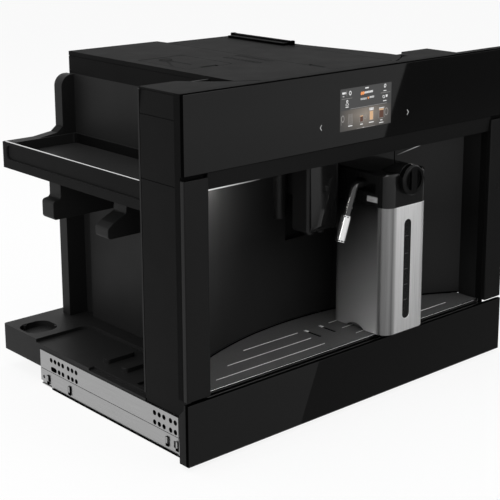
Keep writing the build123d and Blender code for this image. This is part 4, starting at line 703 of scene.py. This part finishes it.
ROUNDINGS = {
    "base_plate": 1.2, "pillar_left": 2.0, "pillar_right": 2.0, "top_plate": 1.0,
    "casing_left": 1.0, "top_cover": 1.2, "bean_lid": 0.8, "ground_flap": 0.8, "shelf": 0.8,
    "cup_hooks": 1.0, "front_frame": 0.6, "control_glass": 0.6, "lower_glass": 0.6,
    "trim_left": 0.5, "trim_right": 0.5, "hood_fascia": 0.8, "lower_carrier": 0.5,
    "spout_shell": 1.0, "spout_front": 1.0, "jug_lid": 0.8, "jug_sleeve": 0.3, "froth_knob": 0.5,
    "tray_edge": 0.4, "cup_grid": 0.4, "water_tank": 1.2, "tank_lid": 0.6, "drip_tray": 0.6,
    "main_switch": 0.6, "power_inlet": 0.5,
}
SOFT = {}
for node, width in ROUNDINGS.items():
    SOFT[node] = soften(node, width)
    print(node, len(SOFT[node].data.polygons), "faces")

# %% [markdown]
# Some faces get painted shade, a second, darker finish, since they would spoil the black if they
# kept the finish of their piece: the ground edge of each pane, which would mirror the white room,
# the walls of the rails' holes, painted dark as the shade inside them, and the shelf's outer side
# and the sides of the bean lid's hinge barrel, painted as lying in shade.

# %% Dark edges
# Only the raised parts of the cover and the lid have sides above the roof line. The walls of a
# rail's holes lie within its rims.
ROOF_LINE = FOOT + (edge("control_glass", "z1") - 5.0) * MM
RAIL_RIM = 0.004
RAIL_UPPER_RIM = 0.002


def darken(piece, chosen, key="shadow"):
    """A second, darker finish, as painted shade, on the faces that a test picks by their normal
    and centre.
    """
    piece.data.materials.append(FINISH[key])
    for polygon in piece.data.polygons:
        if chosen(polygon.normal, polygon.center):
            polygon.material_index = 1


def in_hole(low, high):
    """A test for the walls of the holes in a rail that fills the box from low to high."""
    def chosen(normal, centre):
        return (abs(normal.x) < 0.3 and low.y + RAIL_RIM < centre.y < high.y - RAIL_RIM
                and low.z + RAIL_RIM < centre.z < high.z - RAIL_UPPER_RIM)

    return chosen


for node in ("control_glass", "lower_glass"):
    darken(SOFT[node], lambda normal, centre: normal.y > -0.9)
# The shelf's outer side wears the darker pillar plastic as painted shade.
darken(SOFT["shelf"], lambda normal, centre: normal.x < -0.5, "pillar")
for node in ("top_cover", "bean_lid"):
    darken(SOFT[node], lambda normal, centre: centre.z > ROOF_LINE and normal.z < 0.6)
for node in ("rail_left", "rail_right"):
    SOFT[node] = merged_copy(node, node + "_soft")
    smooth(SOFT[node])
    wear(SOFT[node], FINISH_OF[node])
    darken(SOFT[node], in_hole(*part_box(node)))
    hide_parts(node)
    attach(SOFT[node], ridden_by(node))
print("dark faces", sum(p.material_index for p in SOFT["rail_left"].data.polygons))

# %% [markdown]
# ## The display
#
# The real display sits behind the black glass and only its lit picture shows. Thin flat pieces
# laid a tenth of a millimetre before the pane give the same picture: a dark ground, a warm strip
# with the drinks on it, and small white and orange marks. Bars stand where the real one has words.
# Each piece starts as a plane or a ring at its place; the planes are thickened in edit mode, and
# the rings are scaled flat.

# %% Small tools of edit mode
MARK_DEPTH = 0.1


def editing(piece, step):
    """Runs steps on a piece in edit mode, with nothing selected to begin with."""
    pick(piece)
    bpy.ops.object.mode_set(mode="EDIT")
    bpy.ops.mesh.select_mode(type="FACE")
    bpy.ops.mesh.select_all(action="DESELECT")
    step()
    bpy.ops.object.mode_set(mode="OBJECT")


def settle(piece):
    """Puts a piece's place, turn and size into its mesh."""
    pick(piece)
    bpy.ops.object.transform_apply(location=True, rotation=True, scale=True)
    return piece


def tidy_normals(piece):
    """Merges doubles and points all faces outwards."""
    def step():
        bpy.ops.mesh.select_all(action="SELECT")
        bpy.ops.mesh.remove_doubles(threshold=0.000001)
        bpy.ops.mesh.normals_make_consistent(inside=False)

    editing(piece, step)


def thicken(piece, depth):
    """Extrudes a flat piece backwards, away from the eye."""
    def step():
        bpy.ops.mesh.select_all(action="SELECT")
        bpy.ops.mesh.extrude_region_move(TRANSFORM_OT_translate={"value": (0, depth * MM, 0)})

    editing(piece, step)
    tidy_normals(piece)


def joined(name, pieces):
    """Several pieces made one."""
    pick(*pieces)
    if len(pieces) > 1:
        bpy.ops.object.join()
    return named(name)


def dressed(piece, key, body):
    """Finish, body and material slot of a new piece."""
    wear(piece, key)
    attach(piece, body)
    return piece


def patch(x, z, wide, high, front, turn=0.0, top=1.0):
    """A thin upright patch centred at x, z, its top edge scaled by top."""
    middle = at(x, front, z)
    clear_selection()
    bpy.ops.mesh.primitive_plane_add(size=1.0, location=middle, rotation=(math.pi / 2, 0, 0))
    piece = bpy.context.object
    piece.scale = (wide * MM, high * MM, 1.0)
    settle(piece)
    for vertex in piece.data.vertices:
        if vertex.co.z > middle.z:
            vertex.co.x = middle.x + (vertex.co.x - middle.x) * top
    if turn:
        def step():
            bpy.ops.mesh.select_all(action="SELECT")
            bpy.ops.transform.rotate(value=math.radians(turn), orient_axis="Y",
                                     center_override=middle)

        editing(piece, step)
    thicken(piece, MARK_DEPTH)
    return piece


def block(x, y, z, wide, deep, high):
    """A box round a centre, in panel millimetres."""
    clear_selection()
    bpy.ops.mesh.primitive_cube_add(size=1.0, location=at(x, y, z))
    piece = bpy.context.object
    piece.scale = (wide * MM, deep * MM, high * MM)
    return settle(piece)


# %% Ground and warm strip
SCREEN_LEFT, SCREEN_FOOT = -46.9, 378.2
SCREEN_SIZE = (94.2, 54.4)
SCREEN_BLACK = (0.004, 0.004, 0.004)
STRIP_TOP, STRIP_MIDDLE = 0.49, 0.34
GROUND_FRONT, FILL_FRONT, FOAM_FRONT, BAR_FRONT, LINE_FRONT = -0.08, -0.12, -0.14, -0.16, -0.2


def on_screen(u, v):
    """Panel millimetres of a point of the display, from shares of its width and of its height
    from the top."""
    return SCREEN_LEFT + u * SCREEN_SIZE[0], SCREEN_FOOT + (1 - v) * SCREEN_SIZE[1]


def screen_colour(recipe):
    """Dark grey above, and a warm glow in the middle of the strip below."""
    across = recipe.place("X") / (SCREEN_SIZE[0] * MM)
    up = (recipe.place("Z") - (FOOT + SCREEN_FOOT * MM)) / (SCREEN_SIZE[1] * MM)
    glow = (1.0 - abs(across) * 1.9).either(0.0)
    glow *= (1.0 - abs(up - STRIP_MIDDLE) * 2.2).either(0.0)
    warm = recipe.mixed(glow, grey(62, 0.02), grey(132, 0.16))
    return recipe.mixed(up > STRIP_TOP, warm, grey(66))


SCREEN_COLOURS = {
    "screen_ground": screen_colour,
    "screen_white": grey(225),
    "screen_line": grey(150, 0.03),
    "screen_orange": (0.86, 0.31, 0.10),
    "screen_cream": (0.66, 0.42, 0.24),
    "screen_brown": (0.10, 0.045, 0.03),
    "screen_glass": grey(140, 0.04),
}
for name, colour in SCREEN_COLOURS.items():
    FINISH[name] = finish(name, SCREEN_BLACK, 0.08, Specular_IOR_Level=0.2,
                          Emission_Strength=1.0, Emission_Color=colour)


def marks(name, key, pieces):
    """A set of display marks of one colour, as one piece."""
    return dressed(joined(name, pieces), key, "machine")


def bar(u, v, wide, high, front=BAR_FRONT, turn=0.0, top=1.0):
    """A bar on the display."""
    return patch(*on_screen(u, v), wide, high, front, turn, top)


def ring(u, v, wide, high, line=0.4, turn=0.0):
    """A flat ring on the display, round or oval, of one line width."""
    x, z = on_screen(u, v)
    clear_selection()
    bpy.ops.mesh.primitive_torus_add(
        location=at(x, LINE_FRONT, z), rotation=(math.pi / 2, math.radians(turn), 0),
        major_segments=20, minor_segments=6, major_radius=0.5, minor_radius=line / wide)
    piece = bpy.context.object
    piece.scale = (wide * MM, high * MM, 0.12 * MM * wide / line)
    return settle(piece)


marks("display_ground", "screen_ground", [bar(0.5, 0.5, *SCREEN_SIZE, GROUND_FRONT)])
print("screen centre", on_screen(0.5, 0.5))

# %% White and orange marks
white = [bar(0.06, 0.10, 4.4, 2.6, top=1.25), bar(0.06, 0.175, 2.6, 0.8),
         ring(0.098, 0.10, 1.8, 1.8, 0.35), ring(0.186, 0.115, 3.6, 4.6, 0.5),
         ring(0.13, 0.30, 2.6, 2.6, 0.5), ring(0.13, 0.375, 5.0, 2.6, 0.45),
         bar(0.13, 0.435, 5.6, 1.1), bar(0.51, 0.052, 6.4, 1.7),
         ring(0.869, 0.07, 3.0, 4.0, 0.5, 25), bar(0.869, 0.188, 5.4, 1.0),
         ring(0.845, 0.33, 4.0, 3.0, 0.45, 30), bar(0.905, 0.32, 2.6, 3.2, top=1.5),
         bar(0.869, 0.43, 6.4, 1.1), bar(0.196, 0.892, 7.6, 1.2), bar(0.414, 0.9, 5.0, 1.2),
         bar(0.607, 0.893, 8.8, 1.2), bar(0.807, 0.885, 4.4, 1.0), bar(0.807, 0.945, 8.0, 1.1),
         bar(0.45, 0.984, 3.6, 0.6)]
for n in range(7):
    white.append(ring(0.475 + 0.0235 * n, 0.158 - 0.001 * n, 1.5, 2.0, 0.4, 20))
for n in range(4):
    white.append(ring(0.40 + 0.031 * n, 0.30, 1.9, 2.0, 0.3, 20))
    white.append(ring(0.575 + 0.022 * n, 0.285, 1.6, 1.9, 0.3, 20))
marks("display_white", "screen_white", white)
orange = [ring(0.408, 0.165, 2.0, 2.4, 0.9, 20), ring(0.442, 0.163, 2.0, 2.4, 0.9, 20),
          bar(0.541, 0.287, 2.6, 1.6, top=1.3), bar(0.541, 0.315, 1.3, 1.0, top=1.8)]
marks("display_orange", "screen_orange", orange)
lines = [bar(0.121, 0.11, 0.4, 7.5), bar(0.125, 0.235, 19.0, 0.4), bar(0.88, 0.235, 18.0, 0.4),
         bar(0.55, 0.492, 68.0, 0.5), bar(0.50, 0.986, 34.0, 0.35)]
marks("display_lines", "screen_line", lines)
print("marks", len(white), len(orange), len(lines))


# %% Drinks
def tumbler(u, v, foot, rim, high, line=0.4):
    """The outline of a glass: two leaning sides, a rim and a foot."""
    x, z = on_screen(u, v)
    lean = math.degrees(math.atan2((rim - foot) / 2, high))
    half = (rim + foot) / 4
    sides = [patch(x + way * half, z, line, high, LINE_FRONT, way * lean) for way in (-1, 1)]
    return sides + [patch(x, z + high / 2, rim, line * 0.7, LINE_FRONT),
                    patch(x, z - high / 2, foot, line * 1.4, LINE_FRONT)]


glasses = (tumbler(0.196, 0.735, 5.6, 8.0, 12.5) + tumbler(0.414, 0.757, 4.4, 7.4, 10.0)
           + tumbler(0.607, 0.70, 5.0, 8.6, 15.0) + tumbler(0.807, 0.706, 6.6, 11.0, 14.0))
glasses += [ring(0.482, 0.74, 4.2, 5.0, 0.35), ring(0.905, 0.70, 6.0, 9.0, 0.4),
            ring(0.05, 0.70, 4.6, 8.0, 0.4), bar(0.02, 0.74, 0.4, 12.0, LINE_FRONT)]
for n in range(4):
    glasses.append(bar(0.170 + 0.0175 * n, 0.735, 0.35, 11.0))
marks("display_glasses", "screen_glass", glasses)
marks("display_brown", "screen_brown", [bar(0.414, 0.775, 4.8, 6.6, FILL_FRONT, top=1.25),
                                        bar(0.807, 0.735, 7.2, 9.6, FILL_FRONT, top=1.2)])
marks("display_cream", "screen_cream", [bar(0.607, 0.73, 5.8, 11.4, FILL_FRONT, top=1.25),
                                        bar(0.414, 0.705, 6.0, 1.2, FILL_FRONT, top=1.1),
                                        bar(0.807, 0.625, 9.0, 2.0, FILL_FRONT, top=1.05)])
marks("display_foam", "screen_white", [bar(0.607, 0.575, 7.4, 3.4, FOAM_FRONT, top=1.1),
                                       bar(0.807, 0.59, 9.8, 1.0, FOAM_FRONT)])
print("glasses", len(glasses))

# %% Touch arrows
ARROW_X, ARROW_Z, ARROW_FRONT = 80.5, 388.3, -0.1
ARM_SIZE, ARM_LEAN, ARM_RISE = (0.6, 4.3), 36.0, 1.7
arrows = []
for side in (-1, 1):
    for way in (-1, 1):
        arrows.append(patch(side * ARROW_X, ARROW_Z + way * ARM_RISE, *ARM_SIZE, ARROW_FRONT,
                            side * way * ARM_LEAN))
marks("touch_arrows", "screen_white", arrows)
print("arrow arms", len(arrows))

# %% [markdown]
# ## The jug's small parts
#
# The level marks and the bent milk spout are what the eye finds first on the jug. The spout is a
# tube bent in one sweep: a curve with a round section, made a mesh at the end, suits it better
# than cylinders with a ball at the corner.

# %% Level marks
TICK_FRONT = edge("jug_sleeve", "y0") + 0.35
TICK_X = (edge("jug_window", "x0") + edge("jug_window", "x1")) / 2 - 1.6
TICK_HEIGHTS = (220.3, 195.6, 173.8, 151.7, 129.9)
TICK_SIZE = (7.0, 0.7)
ticks = [patch(TICK_X, z, *TICK_SIZE, TICK_FRONT) for z in TICK_HEIGHTS]
dressed(joined("level_marks", ticks), "grey_button", "milk_jug")
print("level marks", len(ticks))

# %% Milk spout
SPOUT_RADIUS = 5.5
SPOUT_START = edge("milk_spout", "x1") - 0.5
SPOUT_Y = (edge("milk_spout", "y0") + edge("milk_spout", "y1")) / 2
SPOUT_Z = edge("milk_spout", "z1") - SPOUT_RADIUS
ELBOW_X = edge("jug_sleeve", "x0") - 13.0
LEAN = math.radians(20)
SLOPE_STEPS = (0.5, 9, 20, 40, 65)
COLLAR_START, COLLAR_LENGTH, COLLAR_RADIUS = 29.0, 2.4, 7.0
TIP_RADIUS = (edge("milk_tip", "y1") - edge("milk_tip", "y0")) / 2
RIM_LENGTH = 1.8
RIMS = (("tip_rim_low", 75.6, 0.25), ("tip_rim_top", 42.6, 0.2))


def tube(name, points, radius, key, body, rings=4):
    """A bent tube through control points in panel millimetres, with closed ends."""
    clear_selection()
    bpy.ops.curve.primitive_nurbs_path_add(radius=1.0)
    curve = bpy.context.object
    curve.location = (0, 0, 0)
    spline = curve.data.splines[0]
    while len(points) < len(spline.points):
        middle = tuple((a + b) / 2 for a, b in zip(points[0], points[1]))
        points = [points[0], middle] + list(points[1:])
    while len(spline.points) < len(points):
        spline.points.add(1)
    for control, point in zip(spline.points, points):
        control.co = (*at(*point), 1.0)
    spline.order_u = 3
    spline.use_endpoint_u = True
    spline.resolution_u = 8
    curve.data.bevel_depth = radius * MM
    curve.data.bevel_resolution = rings
    curve.data.use_fill_caps = True
    bpy.ops.object.convert(target="MESH")
    piece = named(name)
    tidy_normals(piece)
    smooth(piece, 50)
    return dressed(piece, key, body)


def down_spout(length):
    """A point on the spout's sloping run."""
    return (ELBOW_X - length * math.sin(LEAN), SPOUT_Y, SPOUT_Z - length * math.cos(LEAN))


def sleeve(name, start, length, radius, body):
    """A short ring round the sloping run."""
    points = [down_spout(start + length * share) for share in (0.0, 0.5, 1.0)]
    tube(name, points, radius, "tube", body)


bend = [(x, SPOUT_Y, SPOUT_Z) for x in (SPOUT_START, ELBOW_X + 15, ELBOW_X + 7)]
bend += [down_spout(length) for length in SLOPE_STEPS]
spout_tube = tube("milk_spout_tube", bend, SPOUT_RADIUS, "tube", "milk_spout")
sleeve("milk_spout_collar", COLLAR_START, COLLAR_LENGTH, COLLAR_RADIUS, "milk_spout")
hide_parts("milk_spout")
for name, start, wider in RIMS:
    sleeve(name, start, RIM_LENGTH, TIP_RADIUS + wider, "milk_tip")
print("spout from", [round(v, 1) for v in bend[0]], "to", [round(v, 1) for v in bend[-1]])

# %% [markdown]
# ## Light in the cavity
#
# Two small light windows lie flush in the cavity's ceiling and wash down its curved wall. They
# stay above the door's upper edge, so it swings past them.

# %% Light windows
CEILING = edge("hood_fascia", "z0")
WINDOW_SIZE = (40, 8, 1.2)
WINDOW_DROP = 0.05
WINDOW_ROUNDING = 0.3
WINDOWS = (("left", -180.0, 74.0, "led"), ("right", 150.0, 34.0, "led_low"))

for side, x, y, key in WINDOWS:
    block(x, y, CEILING - WINDOW_DROP, *WINDOW_SIZE)
    strip = named("light_strip_" + side)
    rounding(strip, WINDOW_ROUNDING)
    smooth(strip)
    dressed(strip, key, "machine")
print("ceiling at", round(CEILING, 1))

# %% [markdown]
# Two thin glowing lines paint highlights under the hood: one under the left half of the fascia,
# where the light catches its edge, and one on the right of the curved wall, where the hood's
# shadow ends. The wall is part of a cylinder. The grid's rear edge shares its curve, so the depth
# is read there.

# %% Lit edges under the hood
DECK = edge("cup_grid", "z1")
ARC_RADIUS, ARC_X = 498.0, -8.0
ARC_Y = edge("cup_grid", "y1") - ARC_RADIUS


def on_wall(x, z, inset):
    """A point of the curved wall's face, brought forwards by an inset."""
    return (x, ARC_Y + math.sqrt((ARC_RADIUS - inset) ** 2 - (x - ARC_X) ** 2), z)


def painted_highlight(name, level, start, end):
    """A painted highlight that glows, rising from nothing at one x to full at another, in panel
    millimetres.
    """
    def glow(recipe):
        share = recipe.place("X").rise(start * MM, end * MM)
        return recipe.mixed(share, (0.0, 0.0, 0.0), grey(level))

    return finish(name, (0.01, 0.01, 0.01), 0.3, Emission_Strength=1.0, Emission_Color=glow)


FINISH["edge_highlight_left"] = painted_highlight("edge_highlight_left", 215, -182.0, -238.0)
FINISH["edge_highlight_right"] = painted_highlight("edge_highlight_right", 165, 166.0, 205.0)
HOOD_LINE_Y, HOOD_LINE_RISE, HOOD_LINE_RADIUS = 5.9, 0.5, 0.9
HOOD_LINE = [(x, HOOD_LINE_Y, CEILING + HOOD_LINE_RISE) for x in (-259, -215, -178)]
WALL_LINE_INSET, WALL_LINE_RADIUS = 4.4, 0.6
WALL_LINE_PLACES = ((168, 301.6), (180, 305.6), (200, 312.6), (220, 320.0), (230, 324.0))
WALL_LINE = [on_wall(x, z, WALL_LINE_INSET) for x, z in WALL_LINE_PLACES]
tube("hood_edge_highlight_left", HOOD_LINE, HOOD_LINE_RADIUS, "edge_highlight_left", "machine")
tube("hood_edge_highlight_right", WALL_LINE, WALL_LINE_RADIUS, "edge_highlight_right", "machine")
print("wall line from", [round(v, 1) for v in WALL_LINE[0]])

# %% [markdown]
# ## Painted shade lines, slots and rail fittings
#
# A thin black tube at the foot of the curved wall paints the shadow gap between the wall and the
# grid as a black line there, with a wider dark tube behind its right part. The drain slots catch
# the light on their rolled lips: strips along the slots stand for the lips, and their near-white
# colour paints the highlight they catch; dark blocks below the two short slots paint the shade
# inside them. On the rail, latch tabs sit on dark pieces that paint the shade of their slots, and
# a black band at the runner's foot paints the shadow line under it.

# %% Painted shadow line at the wall's foot
SHADE_LINE = {"inset": 4.6, "rise": 0.9, "radius": 0.8}
SHADE_BACKING = {"inset": 0.5, "rise": 1.4, "radius": 2.6}


def shade_line(name, start, end, step, body, inset, rise, radius):
    """A black tube along the foot of the curved wall that paints the shadow line there."""
    points = [on_wall(x, DECK + rise, inset) for x in range(start, end + 1, step)]
    tube(name, points, radius, "shadow", body, rings=2)


shade_line("door_shade_line", -240, 160, 20, "service_door", **SHADE_LINE)
shade_line("wall_shade_line", 166, 250, 14, "machine", **SHADE_LINE)
shade_line("wall_shade_backing", 50, 266, 18, "machine", **SHADE_BACKING)
print("seal at", round(DECK + SHADE_LINE["rise"], 1))

# %% Slots in the grid
SLOT_INSETS = (41.0, 82.0, 132.0)
FIRST_ROW, ROW_STEP = 32.2, 26.6
GRID_REACH = 261.0
BRIDGE_LEFT, BRIDGE_RIGHT = -29, 31
LIP_SIZE, LIP_SHIFT, LIP_DROP = (0.5, 0.8), 0.9, 0.3
SHORT_PLACES = (-15, 13)
SHORT_LIP, SHORT_LIP_Y, SHORT_LIP_DROP = (4.8, 6.0, 0.9), 83.5, 0.4
SHORT_WELL, SHORT_WELL_Y, SHORT_WELL_DROP = (4.8, 33.0, 1.0), 71.2, 1.6
# The lips are near white and paint the highlight that the slots' rolled edges catch; the dark
# blocks below the two short slots paint the shade inside them.
lips = []
for row, inset in enumerate(SLOT_INSETS):
    y = FIRST_ROW + ROW_STEP * row
    reach = GRID_REACH - inset
    for x0, x1 in ((2 - reach, BRIDGE_LEFT), (BRIDGE_RIGHT, reach - 1)):
        lips.append(block(ARC_X + (x0 + x1) / 2, y + LIP_SHIFT, DECK - LIP_DROP,
                          x1 - x0, *LIP_SIZE))
well_shades = []
for x in SHORT_PLACES:
    lips.append(block(ARC_X + x, SHORT_LIP_Y, DECK - SHORT_LIP_DROP, *SHORT_LIP))
    well_shades.append(block(ARC_X + x, SHORT_WELL_Y, DECK - SHORT_WELL_DROP, *SHORT_WELL))
dressed(joined("slot_well_shade", well_shades), "shadow", "drawer")
dressed(joined("slot_lip_highlights", lips), "lip", "drawer")
print("lips", len(lips))

# %% Rail fittings
RUNNER_FACE = 281.0
TAB_PLACES = ((335.2, 6.6), (281.9, 6.6), (63.7, 8.0), (43.4, 8.0))
SLOT_SIZE = (0.6, 6.0, 13.0)
TAB_SIZE = (0.7, 3.2, 8.0)
TAB_SHIFT = (0.4, 0.6, 1.8)
# The dark slot pieces paint the shade round the latch tabs, and the black band at the runner's
# foot paints the shadow line under it.
FOOT_SHADE_SIZE = (1.0, 288, 1.9)
FOOT_SHADE_Y, FOOT_SHADE_Z = 181, -3.9
for side, way in (("left", -1), ("right", 1)):
    shade_plates = [block(way * RUNNER_FACE, y, z, *SLOT_SIZE) for y, z in TAB_PLACES]
    shade_plates.append(block(way * RUNNER_FACE, FOOT_SHADE_Y, FOOT_SHADE_Z, *FOOT_SHADE_SIZE))
    out, back, up = TAB_SHIFT
    tabs = [block(way * (RUNNER_FACE + out), y + back, z + up, *TAB_SIZE) for y, z in TAB_PLACES]
    dressed(joined("runner_slots_" + side, shade_plates), "shadow", "cabinet_runners")
    dressed(joined("runner_tabs_" + side, tabs), "tab", "cabinet_runners")
print("runner", [round(edge("runner_left", side), 2) for side in ("x0", "z0")])

# %% [markdown]
# Two small marks are moulded into the top, one at each filling opening: a scoop on the flap for
# ground coffee, and two rows of beans before the bean lid.

# %% Marks on the top
FLAP_TOP = edge("ground_flap", "z1")
SCOOP_X, BOWL_Y, STEM_Y = -120, 262, 230
BOWL_RADIUS, BOWL_LINE = 0.009, 0.0005
STEM_SIZE, GRAIN_SIZE, BEAN_SIZE = (1.6, 46.0), (2.2, 5.0), (9.0, 3.2)
BEAN_ROWS = ((-18, 162), (-42, 159))
BEAN_STEP = 7.6
MARK_HIGH, MARK_SUNK = 0.24, 0.04


def raised_bar(x, y, wide, deep):
    """A low bar on the level top."""
    return block(x, y, FLAP_TOP + MARK_HIGH / 2 - MARK_SUNK, wide, deep, MARK_HIGH)


clear_selection()
bpy.ops.mesh.primitive_torus_add(location=at(SCOOP_X, BOWL_Y, FLAP_TOP + 0.02),
                                 major_segments=24, minor_segments=6,
                                 major_radius=BOWL_RADIUS, minor_radius=BOWL_LINE)
scoop = [settle(bpy.context.object), raised_bar(SCOOP_X, STEM_Y, *STEM_SIZE)]
scoop += [raised_bar(SCOOP_X - 14 + 5 * n, STEM_Y + 6 + 9 * n, *GRAIN_SIZE) for n in range(-2, 3)]
dressed(joined("scoop_mark", scoop), "mark", "ground_flap")
beans = [raised_bar(x, y + BEAN_STEP * n, *BEAN_SIZE) for x, y in BEAN_ROWS for n in range(10)]
dressed(joined("bean_marks", beans), "mark", "machine")
print("top of the cover", round(FLAP_TOP, 2), round(edge("top_cover", "z1"), 2))
